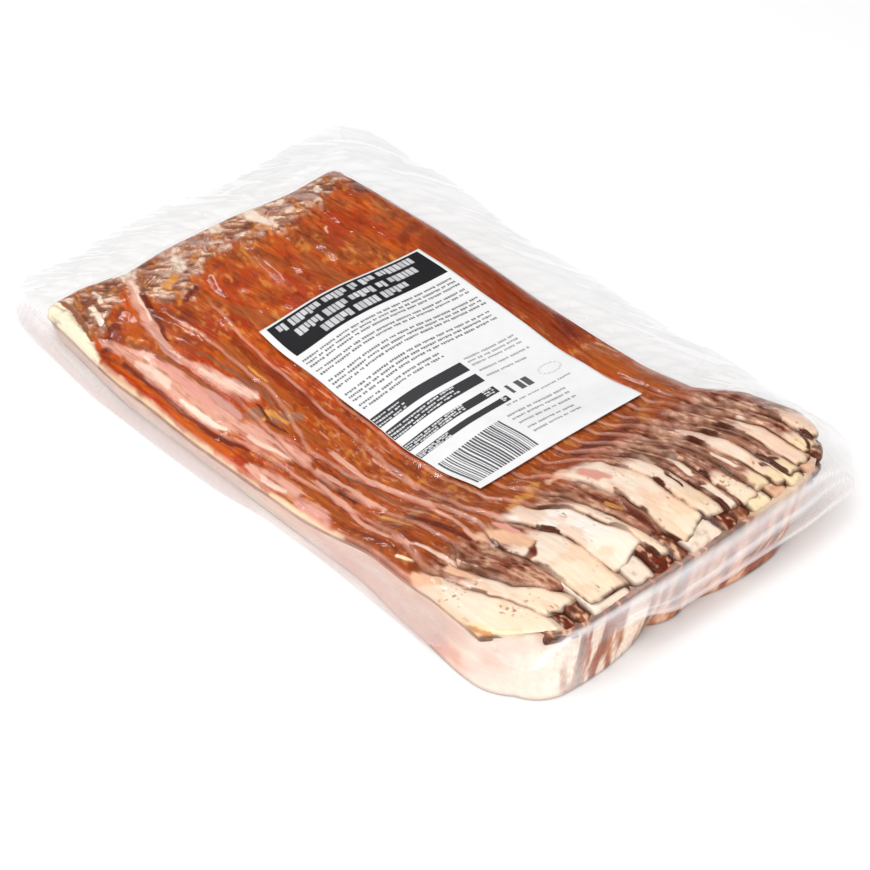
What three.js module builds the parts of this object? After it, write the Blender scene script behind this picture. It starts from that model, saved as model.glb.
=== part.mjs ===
// A clear vacuum pouch of sliced bacon lying flat, with a paper label stuck on its top.
// Units are millimetres. +X is the pouch's width, +Y its length towards the far end, +Z up.
// The origin is on the table, under the middle of the pouch.
import * as THREE from 'three';

// The pouch: two films welded round the filling, with a wide empty margin at the far and right sides.
// Its free edge is pulled in where the margin curls down: [distance along, place] knots.
const pouchWidth = 216;
const pouchLength = 350;
const pouchPull = {
  left: [
    [-175, 2], [-130, 1.5], [-100, 3.5], [-55, 5], [-22, 4.5],
    [12, 0.5], [40, 0], [85, 0], [135, 4], [175, 11],
  ],
  right: [[-175, 15], [-140, 11], [-105, 4], [-60, 3.5], [0, 5], [40, 5.5], [80, 3], [118, 0], [175, 0]],
  near: [[-108, 0], [40, 0], [72, 2.5], [108, 9]],
  far: [[-108, 3], [-60, 0], [108, 0]],
};
const pouchCorner = { left: 24, right: 30, farRight: 12 };
const weldThickness = 0.8;

// The filling's rim, where the films leave it: [distance along, place] knots.
const leftRim = [
  [-168, -102], [-145, -104], [-110, -101.5], [-75, -98.5],
  [-30, -102], [30, -104], [75, -104.5], [137, -98],
];
const rightRim = [
  [-168, 80], [-130, 84], [-108, 80], [-88, 69],
  [-60, 65.5], [0, 65], [70, 67], [137, 66],
];
const nearRim = [[-104, -166], [-60, -168.5], [0, -168], [40, -166.5], [84, -161]];
const farRim = [[-98, 139], [-76, 140], [-57, 136], [-30, 139], [5, 139], [36, 136], [64, 138]];
const cornerRadius = { near: 30, far: 9 };

// Heights of the filling: along its middle, and where the films leave it on each side.
const crownHeight = [
  [-168, 26.5], [-138, 27.5], [-102, 23.5], [-80, 20.5], [-56, 17], [-36, 16],
  [-10, 17.5], [20, 19.5], [58, 20.5], [105, 18.5], [137, 15],
];
const leftHeight = [[-168, 24.5], [-120, 21.5], [-82, 17], [-40, 13], [20, 12], [60, 12.5], [137, 11.5]];
const rightHeight = [[-168, 23], [-120, 20], [-80, 14.5], [0, 13.5], [137, 13]];
const nearHeight = 25;
const farHeight = 13;
const shoulder = { left: 24, right: 20, near: 15, far: 20 };

// The rashers lie lengthwise and overlap like tiles.
// Each list holds the widths that show, from left to right.
const farStrips = [9, 16, 10, 12, 12, 12, 11, 11, 11, 10, 10, 10, 9, 9, 9];
const middleStrips = [6, 14, 15, 11, 12, 13, 12, 11, 12, 11, 11, 10, 10, 10, 9.5];
const nearStrips = [18, 22, 20, 20, 11, 19, 8, 9, 9, 9, 9, 8, 8, 8, 10];
const stripsAt = { far: 110, middle: 0, near: -130 };
const edgeStep = [[-168, 1.4], [-140, 2.3], [-105, 1.9], [-70, 1.2], [60, 1.2], [115, 0.9], [137, 0.4]];
const rasherWave = { height: 0.55, length: 74 };
const crest = { x: -6, halfWidth: 24, height: 2.4, from: -88, to: 80, fade: 30 };
const leftSag = { depth: 3.4, x: -14, reach: 38, from: -84, to: 66, fade: 30 };
const slackRows = { height: 0.3, length: 41 };

// Below the rim the filling stands on a foot.
// The lower rashers end there in three lobes: [middle, half width, reach].
const nearLobes = [[-73, 37, 11], [-25, 12.5, 7.5], [16, 33, 9.5]];
const lobeFloor = -161.5;
const footLeft = [
  [-168, -106.5], [-140, -107], [-108, -104], [-70, -100],
  [-20, -100.5], [70, -101.5], [137, -95],
];
const footRight = [[-168, 50], [-132, 53], [-98, 66], [-60, 59], [0, 58.5], [137, 58]];
const footFarInset = 6;
const footRadius = { near: 22, far: 8 };
const footRoll = 4.5;

// The wall from the rim to the foot: [share of the rim's height, share of the way to the foot].
const wallSteps = [[0.45, 0.28], [0.09, 0.88]];

// Where the films hang: their edge heights on each side.
const edgeHeight = { left: 1.3, near: 12, nearLeft: 20, far: 3.4, right: 3.2 };
const edgeRipple = { height: 1.1, length: 88 };
const droop = { side: 1.0, margin: 1.55 };

// The label, stuck on the film over the middle of the filling.
const label = { width: 89, length: 137, x: 0, y: -12.3, thickness: 0.4, gap: 0.45 };
const labelReliefShare = 0.3;
const labelCells = { across: 22, along: 27 };

// How finely the solids are divided.
const rasherPlaces = [0, 0.14, 0.55];
const rows = 44;
const marginPlaces = [0.3, 0.64, 1];

const colours = { filling: 0xb4512a, label: 0xf2f1ee };

function ease(share) {
  const s = Math.min(1, Math.max(0, share));
  return s * s * (3 - 2 * s);
}

function mix(a, b, share) {
  return a + (b - a) * share;
}

// The value at a place along a curve given by knots, with a level start and end to each span.
function curveAt(knots, place) {
  let i = 0;
  while (i < knots.length - 2 && place > knots[i + 1][0]) i += 1;
  const [from, a] = knots[i];
  const [to, b] = knots[i + 1];
  const share = Math.min(1, Math.max(0, (place - from) / (to - from)));
  return mix(a, b, mix(share, ease(share), 0.6));
}

// Places of the rashers' exposed left edges at a distance along, as shares of the filling's width.
function stripShares(y) {
  const towardsFar = ease((y - stripsAt.middle) / (stripsAt.far - stripsAt.middle));
  const towardsNear = ease((y - stripsAt.middle) / (stripsAt.near - stripsAt.middle));
  const widths = middleStrips.map((w, i) => {
    const farChange = (farStrips[i] - w) * towardsFar;
    return w + farChange + (nearStrips[i] - w) * towardsNear;
  });
  const whole = widths.reduce((sum, w) => sum + w, 0);
  const shares = [0];
  for (const w of widths) shares.push(shares.at(-1) + w / whole);
  return shares;
}

// Draws a square corner's place in to a round one. `overX` and `overY` are measured from the round's centre.
function rounded(overX, overY) {
  if (overX <= 0 || overY <= 0) return [overX, overY];
  const scale = Math.max(overX, overY) / Math.hypot(overX, overY);
  return [overX * scale, overY * scale];
}

// A place inside an outline with four curved sides and rounded corners, from its shares across and along.
function planPlace(outline, across, along) {
  const guessX = mix(outline.left(0), outline.right(0), across);
  const squareY = mix(outline.near(guessX), outline.far(guessX), along);
  const left = outline.left(squareY);
  const right = outline.right(squareY);
  const x = mix(left, right, across);
  const near = outline.near(x);
  const far = outline.far(x);
  const y = mix(near, far, along);
  const [centreX, signX] = across < 0.5 ? [left, -1] : [right, 1];
  const [edgeY, signY, radius] = along < 0.5 ? [near, -1, outline.radius.near] : [far, 1, outline.radius.far];
  const overX = signX * (x - (centreX - signX * radius));
  const overY = signY * (y - (edgeY - signY * radius));
  const [roundX, roundY] = rounded(overX, overY);
  return [x + signX * (roundX - overX), y + signY * (roundY - overY)];
}

const rimOutline = {
  left: (y) => curveAt(leftRim, y),
  right: (y) => curveAt(rightRim, y),
  near: (x) => curveAt(nearRim, x),
  far: (x) => curveAt(farRim, x),
  radius: cornerRadius,
};

function footOutline(inset) {
  return {
    left: (y) => curveAt(footLeft, y) + inset,
    right: (y) => curveAt(footRight, y) - inset,
    near: (x) => lobeFloor - lobeReach(x) + inset,
    far: (x) => curveAt(farRim, x) - footFarInset - inset,
    radius: footRadius,
  };
}

function quarterRise(distance, reach) {
  const s = Math.min(1, Math.max(0, distance / reach));
  return Math.sqrt(1 - (1 - s) * (1 - s));
}

// 1 along a stretch of the filling's length and 0 past its faded ends.
function stretch({ from, to, fade }, y) {
  return ease((y - from) / fade) * ease((to - y) / fade);
}

// The smooth form of the top, without the rashers' edges.
function crownAt(x, y) {
  const away = {
    left: Math.max(0.01, x - curveAt(leftRim, y)),
    right: Math.max(0.01, curveAt(rightRim, y) - x),
    near: Math.max(0.01, y - curveAt(nearRim, x)),
    far: Math.max(0.01, curveAt(farRim, x) - y),
  };
  const edges = {
    left: curveAt(leftHeight, y),
    right: curveAt(rightHeight, y),
    near: nearHeight,
    far: farHeight,
  };
  let pull = 0;
  let edge = 0;
  let rise = 1;
  for (const side of Object.keys(away)) {
    const weight = 1 / away[side] ** 2;
    pull += weight;
    edge += edges[side] * weight;
    rise *= quarterRise(away[side], shoulder[side]);
  }
  edge /= pull;
  const ridge = crest.height * stretch(crest, y) * Math.exp(-(((x - crest.x) / crest.halfWidth) ** 2));
  const sag = leftSag.depth * stretch(leftSag, y) * ease((leftSag.x - x) / leftSag.reach);
  const slack = slackRows.height * Math.sin((2 * Math.PI * (y + 0.35 * x)) / slackRows.length);
  return edge + (curveAt(crownHeight, y) - edge + ridge - sag + slack) * rise;
}

// The share of the relief that is left near the rim and under the label, which presses it flat.
function reliefShare(x, y) {
  const toRim = Math.min(
    x - curveAt(leftRim, y),
    curveAt(rightRim, y) - x,
    y - curveAt(nearRim, x),
    curveAt(farRim, x) - y,
  );
  const pastSide = Math.abs(x - label.x) - label.width / 2;
  const pastLabel = Math.max(pastSide, Math.abs(y - label.y) - label.length / 2);
  return ease(toRim / 7) * mix(labelReliefShare, 1, ease((pastLabel - 6) / 6));
}

// The raised exposed edge of a rasher: a quick rise at its left edge and a long slope down to the next.
function rasherRelief(index, place, y) {
  const rise = ease(place / rasherPlaces[1]);
  const slope = 1 - Math.max(0, place - rasherPlaces[1]) / (1 - rasherPlaces[1]);
  const phase = 2.4 * index;
  const waveLength = rasherWave.length + 3 * (index % 5);
  const wave = rasherWave.height * Math.sin((2 * Math.PI * y) / waveLength + phase);
  return curveAt(edgeStep, y) * rise * slope + wave * rise * slope;
}

// The columns of the grid across the filling: each rasher's valley, crest and back.
function columnList() {
  const columns = [];
  for (let index = 0; index < middleStrips.length; index += 1) {
    for (const place of rasherPlaces) columns.push({ index, place });
  }
  columns.push({ index: middleStrips.length - 1, place: 1 });
  return columns;
}

// The rows are closer at the two ends, where the form turns.
function rowShare(row) {
  const even = row / rows;
  return mix(even, (1 - Math.cos(Math.PI * even)) / 2, 0.55);
}

// A column's share across the filling, evenly by rasher.
function rimShare(columns, index) {
  const { index: rasher, place } = columns[index];
  return (rasher + place) / middleStrips.length;
}

function fillingPoint(column, row) {
  const share = rowShare(row);
  const middleY = mix(curveAt(nearRim, 0), curveAt(farRim, 0), share);
  const shares = stripShares(middleY);
  const across = mix(shares[column.index], shares[column.index + 1], column.place);
  const [x, y] = planPlace(rimOutline, across, share);
  const relief = rasherRelief(column.index, column.place, y) * reliefShare(x, y);
  return new THREE.Vector3(x, y, crownAt(x, y) + relief);
}

function ripple(place, shift) {
  return edgeRipple.height * Math.sin((2 * Math.PI * place) / edgeRipple.length + shift);
}

// Heights of the films' free edge, from its place along each side.
function freeEdgeHeight(x, y, side) {
  if (side === 'left') {
    const low = mix(edgeHeight.left, edgeHeight.far, ease((y - 110) / 50));
    return mix(low, edgeHeight.nearLeft, ease((-112 - y) / 40));
  }
  if (side === 'near') {
    const low = mix(edgeHeight.nearLeft, edgeHeight.near, ease((x + 52) / 26));
    return mix(low, edgeHeight.right + 8, ease((x - 62) / 34));
  }
  if (side === 'right') return edgeHeight.right + ripple(y, 0.8) + 8 * ease((-96 - y) / 60);
  return edgeHeight.far + ripple(x, 2.1);
}

// A point of the empty margin. It leaves the rim at `from` and reaches the free edge at `to`, at share 1.
function marginPoint(from, to, share, bend) {
  const point = from.clone().lerp(to, share);
  point.z = mix(from.z, to.z, share ** bend);
  return point;
}

// Draws a place in the margin in to the pouch's rounded corner.
function atPouchCorner(x, y) {
  const radius = x < 0 ? pouchCorner.left : y < 0 ? pouchCorner.right : pouchCorner.farRight;
  const side = x < 0 ? 'left' : 'right';
  const end = y < 0 ? 'near' : 'far';
  const flatX = pouchWidth / 2 - curveAt(pouchPull[side], y) - radius;
  const flatY = pouchLength / 2 - curveAt(pouchPull[end], x) - radius;
  const [overX, overY] = rounded(Math.abs(x) - flatX, Math.abs(y) - flatY);
  return [Math.sign(x) * (flatX + overX), Math.sign(y) * (flatY + overY)];
}

// The whole top film: the filling's grid with the margins added all round it.
function topGrid() {
  const columns = columnList();
  const filling = [];
  for (let row = 0; row <= rows; row += 1) filling.push(columns.map((column) => fillingPoint(column, row)));
  const halfWidth = pouchWidth / 2;
  const halfLength = pouchLength / 2;

  // Left and right margins of one row.
  const edgeX = {
    left: (y) => curveAt(pouchPull.left, y) - halfWidth,
    right: (y) => halfWidth - curveAt(pouchPull.right, y),
  };
  const widened = filling.map((line) => {
    const first = line[0];
    const last = line.at(-1);
    const leftEdge = new THREE.Vector3(edgeX.left(first.y), first.y, freeEdgeHeight(0, first.y, 'left'));
    const rightEdge = new THREE.Vector3(edgeX.right(last.y), last.y, freeEdgeHeight(0, last.y, 'right'));
    const left = marginPlaces.map((share) => marginPoint(first, leftEdge, share, droop.side)).reverse();
    const right = marginPlaces.map((share) => marginPoint(last, rightEdge, share, droop.margin));
    return [...left, ...line, ...right];
  });

  // Near and far margins, spread so that their ends reach the pouch's corners.
  const endRow = (line, sign, share) => line.map((from) => {
    const end = sign < 0 ? 'near' : 'far';
    const side = from.x < 0 ? 'left' : 'right';
    const rim = side === 'left' ? line[marginPlaces.length] : line.at(-1 - marginPlaces.length);
    const past = (from.x - rim.x) / (edgeX[side](from.y) - rim.x);
    const toY = sign * (halfLength - curveAt(pouchPull[end], from.x));
    const toX = past > 0 ? mix(rim.x, edgeX[side](toY), past) : from.x;
    const own = freeEdgeHeight(toX, toY, end);
    const other = freeEdgeHeight(toX, toY, side);
    const to = new THREE.Vector3(toX, toY, mix(own, other, ease(past)));
    return marginPoint(from, to, share, sign < 0 ? droop.side : droop.margin);
  });
  const near = marginPlaces.map((share) => endRow(widened[0], -1, share)).reverse();
  const far = marginPlaces.map((share) => endRow(widened.at(-1), 1, share));
  const grid = [...near, ...widened, ...far];
  for (const line of grid) {
    for (const point of line) {
      const [x, y] = atPouchCorner(point.x, point.y);
      point.x = x;
      point.y = y;
    }
  }
  return grid;
}

function gridNormal(grid, row, column) {
  const up = grid[Math.min(row + 1, grid.length - 1)][column];
  const down = grid[Math.max(row - 1, 0)][column];
  const right = grid[row][Math.min(column + 1, grid[row].length - 1)];
  const left = grid[row][Math.max(column - 1, 0)];
  const alongX = right.clone().sub(left);
  const alongY = up.clone().sub(down);
  return alongX.cross(alongY).normalize();
}

// How far the near end of the lower rashers reaches at a place across, as a row of rounded lobes.
function lobeReach(x) {
  let reach = 0;
  for (const [middle, halfWidth, height] of nearLobes) {
    const inside = 1 - ((x - middle) / halfWidth) ** 2;
    if (inside > 0) reach = Math.max(reach, height * Math.sqrt(inside));
  }
  return reach;
}

// One closed body: the top film, the welded margin's thickness, the walls and the flat bottom.
function sealedPack() {
  const top = topGrid();
  const lines = top.length;
  const length = top[0].length;
  const margin = marginPlaces.length;
  const vertices = [];
  const triangles = [];
  const add = (point) => vertices.push(point.x, point.y, point.z) / 3 - 1;
  const quad = (a, b, c, d) => triangles.push(a, b, c, a, c, d);
  const topIndex = top.map((line) => line.map(add));
  for (let row = 0; row < lines - 1; row += 1) {
    for (let column = 0; column < length - 1; column += 1) {
      quad(
        topIndex[row][column],
        topIndex[row][column + 1],
        topIndex[row + 1][column + 1],
        topIndex[row + 1][column],
      );
    }
  }

  // Rings round the underside, from the pouch's free edge in to the rim and down to the flat.
  const ringAt = (inset) => {
    const ring = [];
    const lastRow = lines - 1 - inset;
    const lastColumn = length - 1 - inset;
    for (let column = inset; column < lastColumn; column += 1) ring.push([inset, column]);
    for (let row = inset; row < lastRow; row += 1) ring.push([row, lastColumn]);
    for (let column = lastColumn; column > inset; column -= 1) ring.push([lastRow, column]);
    for (let row = lastRow; row > inset; row -= 1) ring.push([row, inset]);
    return ring;
  };
  const under = new Map();
  const key = (row, column) => row * length + column;
  for (let inset = 0; inset <= margin; inset += 1) {
    for (const [row, column] of ringAt(inset)) {
      const point = top[row][column].clone().addScaledVector(gridNormal(top, row, column), -weldThickness);
      under.set(key(row, column), add(point));
    }
  }
  for (let row = 0; row < lines - 1; row += 1) {
    for (let column = 0; column < length - 1; column += 1) {
      const inRows = row >= margin && row < lines - 1 - margin;
      const inColumns = column >= margin && column < length - 1 - margin;
      if (inRows && inColumns) continue;
      quad(
        under.get(key(row, column)),
        under.get(key(row + 1, column)),
        under.get(key(row + 1, column + 1)),
        under.get(key(row, column + 1)),
      );
    }
  }
  const outer = ringAt(0);
  outer.forEach(([row, column], i) => {
    const [nextRow, nextColumn] = outer[(i + 1) % outer.length];
    quad(
      under.get(key(row, column)),
      under.get(key(nextRow, nextColumn)),
      topIndex[nextRow][nextColumn],
      topIndex[row][column],
    );
  });

  // The wall steps in from the rim to the foot, and the flat closes it.
  const rim = ringAt(margin);
  const rims = rim.map(([row, column]) => {
    const corner = under.get(key(row, column));
    return new THREE.Vector3().fromArray(vertices, corner * 3);
  });
  const shares = rim.map(([row, column]) => [
    rimShare(columnList(), column - margin),
    rowShare(row - margin),
  ]);
  const rings = [rim.map(([row, column]) => under.get(key(row, column)))];
  const foot = footOutline(0);
  for (const [height, inward] of wallSteps) {
    rings.push(rims.map((point, i) => {
      const [x, y] = planPlace(foot, ...shares[i]);
      return add(new THREE.Vector3(mix(point.x, x, inward), mix(point.y, y, inward), point.z * height));
    }));
  }
  const flatOutline = footOutline(footRoll);
  const flat = shares.map((share) => new THREE.Vector2(...planPlace(flatOutline, ...share)));
  rings.push(flat.map((place) => add(new THREE.Vector3(place.x, place.y, 0))));
  for (let ring = 0; ring < rings.length - 1; ring += 1) {
    for (let i = 0; i < rim.length; i += 1) {
      const next = (i + 1) % rim.length;
      quad(rings[ring + 1][i], rings[ring + 1][next], rings[ring][next], rings[ring][i]);
    }
  }
  const base = rings.at(-1);
  for (const [a, b, c] of THREE.ShapeUtils.triangulateShape(flat, [])) {
    triangles.push(base[a], base[c], base[b]);
  }
  return solidFrom(vertices, triangles);
}

function solidFrom(vertices, triangles) {
  const geometry = new THREE.BufferGeometry();
  geometry.setAttribute('position', new THREE.Float32BufferAttribute(vertices, 3));
  geometry.setIndex(triangles);
  geometry.computeVertexNormals();
  return geometry;
}

// The label's underside: it bridges the rashers' pressed edges.
function labelHeight(x, y) {
  return crownAt(x, y) + label.gap + labelReliefShare * (curveAt(edgeStep, y) + rasherWave.height);
}

function labelSheet() {
  const vertices = [];
  const triangles = [];
  const { across, along } = labelCells;
  const point = (column, row, lift) => {
    const u = (column / across - 0.5) * label.width;
    const v = (row / along - 0.5) * label.length;
    const x = label.x + u;
    const y = label.y + v;
    vertices.push(x, y, labelHeight(x, y) + lift);
  };
  for (const lift of [0, label.thickness]) {
    for (let row = 0; row <= along; row += 1) {
      for (let column = 0; column <= across; column += 1) point(column, row, lift);
    }
  }
  const layer = (across + 1) * (along + 1);
  const at = (column, row, top) => row * (across + 1) + column + (top ? layer : 0);
  const quad = (a, b, c, d) => triangles.push(a, b, c, a, c, d);
  for (let row = 0; row < along; row += 1) {
    for (let column = 0; column < across; column += 1) {
      quad(
        at(column, row, true),
        at(column + 1, row, true),
        at(column + 1, row + 1, true),
        at(column, row + 1, true),
      );
      quad(at(column, row), at(column, row + 1), at(column + 1, row + 1), at(column + 1, row));
    }
  }
  for (let column = 0; column < across; column += 1) {
    quad(at(column, 0), at(column + 1, 0), at(column + 1, 0, true), at(column, 0, true));
    quad(at(column + 1, along), at(column, along), at(column, along, true), at(column + 1, along, true));
  }
  for (let row = 0; row < along; row += 1) {
    quad(at(0, row + 1), at(0, row), at(0, row, true), at(0, row + 1, true));
    quad(at(across, row), at(across, row + 1), at(across, row + 1, true), at(across, row, true));
  }
  return solidFrom(vertices, triangles);
}

function named(name, geometry, colour, roughness) {
  const material = new THREE.MeshStandardMaterial({ color: colour, roughness, metalness: 0 });
  const mesh = new THREE.Mesh(geometry, material);
  mesh.name = name;
  return mesh;
}

const pack = new THREE.Group();
pack.add(named('sealed_pack', sealedPack(), colours.filling, 0.3));
pack.add(named('label', labelSheet(), colours.label, 0.6));

export default pack;
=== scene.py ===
import math

import bpy
import numpy as np
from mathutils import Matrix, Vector


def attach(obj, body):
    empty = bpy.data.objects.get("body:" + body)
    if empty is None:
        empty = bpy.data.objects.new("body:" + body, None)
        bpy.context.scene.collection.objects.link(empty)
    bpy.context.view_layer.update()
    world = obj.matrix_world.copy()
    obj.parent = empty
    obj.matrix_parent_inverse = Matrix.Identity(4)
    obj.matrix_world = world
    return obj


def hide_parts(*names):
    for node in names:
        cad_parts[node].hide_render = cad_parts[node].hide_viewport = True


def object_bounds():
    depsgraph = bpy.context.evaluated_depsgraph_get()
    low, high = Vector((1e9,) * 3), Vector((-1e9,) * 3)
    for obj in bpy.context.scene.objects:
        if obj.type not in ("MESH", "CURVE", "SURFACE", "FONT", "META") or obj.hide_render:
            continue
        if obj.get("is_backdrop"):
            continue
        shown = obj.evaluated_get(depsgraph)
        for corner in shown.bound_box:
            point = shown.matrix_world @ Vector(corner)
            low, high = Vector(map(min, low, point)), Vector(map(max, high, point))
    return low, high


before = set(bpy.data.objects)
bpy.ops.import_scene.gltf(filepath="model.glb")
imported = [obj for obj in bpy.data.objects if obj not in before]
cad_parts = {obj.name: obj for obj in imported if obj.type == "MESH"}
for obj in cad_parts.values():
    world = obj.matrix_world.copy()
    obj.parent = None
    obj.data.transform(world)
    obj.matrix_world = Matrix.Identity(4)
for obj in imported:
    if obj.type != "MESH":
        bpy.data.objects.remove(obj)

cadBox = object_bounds()
mm = 0.001

# The filling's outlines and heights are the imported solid's own, as [distance along, place] knots.
filling = {
    "leftRim": [[-168, -102], [-145, -104], [-110, -101.5], [-75, -98.5], [-30, -102], [30, -104],
                [75, -104.5], [137, -98]],
    "rightRim": [[-168, 80], [-130, 84], [-108, 80], [-88, 69], [-60, 65.5], [0, 65], [70, 67], [137, 66]],
    "nearRim": [[-104, -166], [-60, -168.5], [0, -168], [40, -166.5], [84, -161]],
    "farRim": [[-98, 139], [-76, 140], [-57, 136], [-30, 139], [5, 139], [36, 136], [64, 138]],
    "cornerNear": 30, "cornerFar": 9,
    "crown": [[-168, 26.5], [-138, 27.5], [-102, 23.5], [-80, 20.5], [-56, 17], [-36, 16], [-10, 17.5],
              [20, 19.5], [58, 20.5], [105, 18.5], [137, 15]],
    "leftHeight": [[-168, 24.5], [-120, 21.5], [-82, 17], [-40, 13], [20, 12], [60, 12.5], [137, 11.5]],
    "rightHeight": [[-168, 23], [-120, 20], [-80, 14.5], [0, 13.5], [137, 13]],
    "nearHeight": 25, "farHeight": 13,
    "shoulderLeft": 24, "shoulderRight": 20, "shoulderNear": 15, "shoulderFar": 20,
    "crest": {"x": -6, "halfWidth": 24, "height": 2.4, "from": -88, "to": 80, "fade": 30},
    "sag": {"depth": 3.4, "x": -14, "reach": 38, "from": -84, "to": 66, "fade": 30},
    "slackHeight": 0.3, "slackLength": 41, "slackSlant": 0.35, "calmRim": 5,
}
# The label lies on the crown, and the rashers under it and close around it are pressed flat.
label = {
    "width": 89, "length": 137, "x": 0, "y": -12.3, "thickness": 0.4, "gap": 0.45,
    "reliefShare": 0.3, "calm": 5, "calmFade": 6, "creaseHeight": 0.12,
    "relief": [[-168, 1.4], [-140, 2.3], [-105, 1.9], [-70, 1.2], [60, 1.2], [115, 0.9], [137, 0.4]],
}


def ease(share):
    s = np.clip(share, 0, 1)
    return s * s * (3 - 2 * s)


def mix(a, b, share):
    return a + (b - a) * share


def curveAt(knots, place):
    k = np.array(knots, float)
    p = np.clip(np.asarray(place, float), k[0, 0], k[-1, 0])
    i = np.clip(np.searchsorted(k[:, 0], p, side="right") - 1, 0, len(k) - 2)
    share = (p - k[i, 0]) / (k[i + 1, 0] - k[i, 0])
    return mix(k[i, 1], k[i + 1, 1], mix(share, ease(share), 0.6))


# Smooth noise from -1 to 1, on cells of the given size in millimetres.
def noiseAt(x, y, cellX, cellY, seed):
    table = np.random.default_rng(seed).uniform(-1, 1, (128, 128))
    u, v = np.asarray(x) / cellX + 31.7, np.asarray(y) / cellY + 47.3
    i, j = np.floor(u).astype(int), np.floor(v).astype(int)
    a, b = ease(u - i), ease(v - j)
    corner = lambda di, dj: table[(i + di) % 128, (j + dj) % 128]
    return mix(mix(corner(0, 0), corner(1, 0), a), mix(corner(0, 1), corner(1, 1), a), b)


def roughNoise(x, y, cellX, cellY, seed):
    return (noiseAt(x, y, cellX, cellY, seed) + 0.5 * noiseAt(x, y, cellX / 2, cellY / 2, seed + 1)
            + 0.25 * noiseAt(x, y, cellX / 4, cellY / 4, seed + 2)) / 1.4


def stretchShare(part, y):
    return ease((y - part["from"]) / part["fade"]) * ease((part["to"] - y) / part["fade"])


def quarterRise(distance, reach):
    s = np.clip(distance / reach, 0, 1)
    return np.sqrt(1 - (1 - s) ** 2)


# The smooth form of the filling's top, without the rashers' edges.
def crownAt(x, y):
    f = filling
    away = {"Left": np.maximum(0.01, x - curveAt(f["leftRim"], y)),
            "Right": np.maximum(0.01, curveAt(f["rightRim"], y) - x),
            "Near": np.maximum(0.01, y - curveAt(f["nearRim"], x)),
            "Far": np.maximum(0.01, curveAt(f["farRim"], x) - y)}
    edges = {"Left": curveAt(f["leftHeight"], y), "Right": curveAt(f["rightHeight"], y),
             "Near": f["nearHeight"], "Far": f["farHeight"]}
    pull, edge, rise = 0, 0, 1
    for side, distance in away.items():
        weight = 1 / distance ** 2
        pull = pull + weight
        edge = edge + edges[side] * weight
        rise = rise * quarterRise(distance, f["shoulder" + side])
    edge = edge / pull
    ridge = f["crest"]["height"] * stretchShare(f["crest"], y)
    ridge = ridge * np.exp(-((x - f["crest"]["x"]) / f["crest"]["halfWidth"]) ** 2)
    sag = f["sag"]["depth"] * stretchShare(f["sag"], y) * ease((f["sag"]["x"] - x) / f["sag"]["reach"])
    slack = f["slackHeight"] * np.sin(2 * math.pi * (y + f["slackSlant"] * x) / f["slackLength"])
    return edge + (curveAt(f["crown"], y) - edge + ridge - sag + slack) * rise


# The share of the rashers' relief that is left near the rim and under the label.
def reliefShare(x, y):
    f = filling
    toRim = np.minimum.reduce([x - curveAt(f["leftRim"], y), curveAt(f["rightRim"], y) - x,
                               y - curveAt(f["nearRim"], x), curveAt(f["farRim"], x) - y])
    pastLabel = np.maximum(np.abs(x - label["x"]) - label["width"] / 2,
                           np.abs(y - label["y"]) - label["length"] / 2)
    uncovered = ease((pastLabel - label["calm"]) / label["calmFade"])
    return ease(toRim / f["calmRim"]) * mix(label["reliefShare"], 1, uncovered)


# The rashers' exposed left edges: [distance along, place] knots, from the near end to the far end.
rasherEdges = [
    [[-158, -80.5], [-150, -81.5], [-143, -84], [-133, -88.5], [-122, -91], [-112, -92], [-105, -94],
     [-80, -88], [-60, -85], [-40, -86], [-15, -89], [0, -91], [20, -95], [40, -96.5], [80, -95.5],
     [100, -92], [125, -86], [139, -80]],
    [[-155, -66], [-145.5, -70], [-134, -79], [-121, -83], [-112, -84], [-100, -77], [-70, -77],
     [-25, -82], [0, -80], [25, -78], [35, -77.5], [72, -80], [100, -76], [125, -66], [141, -60]],
    [[-163, -63.5], [-130, -63.5], [-115, -66], [-95, -61], [-55, -66], [-30, -72], [-12, -75], [0, -71],
     [15, -66], [30, -63], [70, -64], [90, -65], [103, -66], [125, -58], [138, -50]],
    [[-161, -44.3], [-126, -44.3], [-111.6, -48.4], [-100, -54], [-85, -58], [-60, -57], [0, -55], [20, -53],
     [60, -52], [90, -46], [110, -40], [138, -28]],
    [[-152, -24.8], [-144, -24.8], [-130, -28.3], [-116, -29], [-104, -40], [-85, -47]],
    [[-157, -19.7], [-140, -21.3], [-126, -22.3], [-109.6, -25.9], [-100, -32], [-85, -38]],
    [[-161, -12.5], [-150.6, -13.6], [-134, -11.5], [-124, -10.5], [-108.6, -14.6], [-100, -18], [-85, -28]],
    [[-156, 3.9], [-138, 4.4], [-126, 5.4], [-115.7, 4.4], [-102.4, 0.8], [-98, -3], [-85, -15]],
    [[-160, 13.5], [-124, 13.5], [-112, 12], [-100, 6], [-85, -5]],
    [[-160, 21], [-125, 21], [-115, 19], [-100, 14], [-85, 4]],
    [[-160, 30], [-130, 30], [-115, 28], [-100, 21], [-85, 12]],
    [[-160, 38.5], [-145, 38], [-130, 36], [-116, 33.5], [-100, 28], [-85, 20]],
    [[-160, 46], [-145, 45], [-130, 44], [-118, 42], [-100, 35], [-85, 28]],
    [[-160, 53], [-135, 52], [-118, 49], [-100, 42], [-85, 35.5]],
    [[-158, 61], [-135, 60], [-118, 57], [-100, 48], [-85, 43]],
    [[-155, 69], [-135, 68], [-118, 66], [-100, 55], [-85, 50.5]],
]
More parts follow.
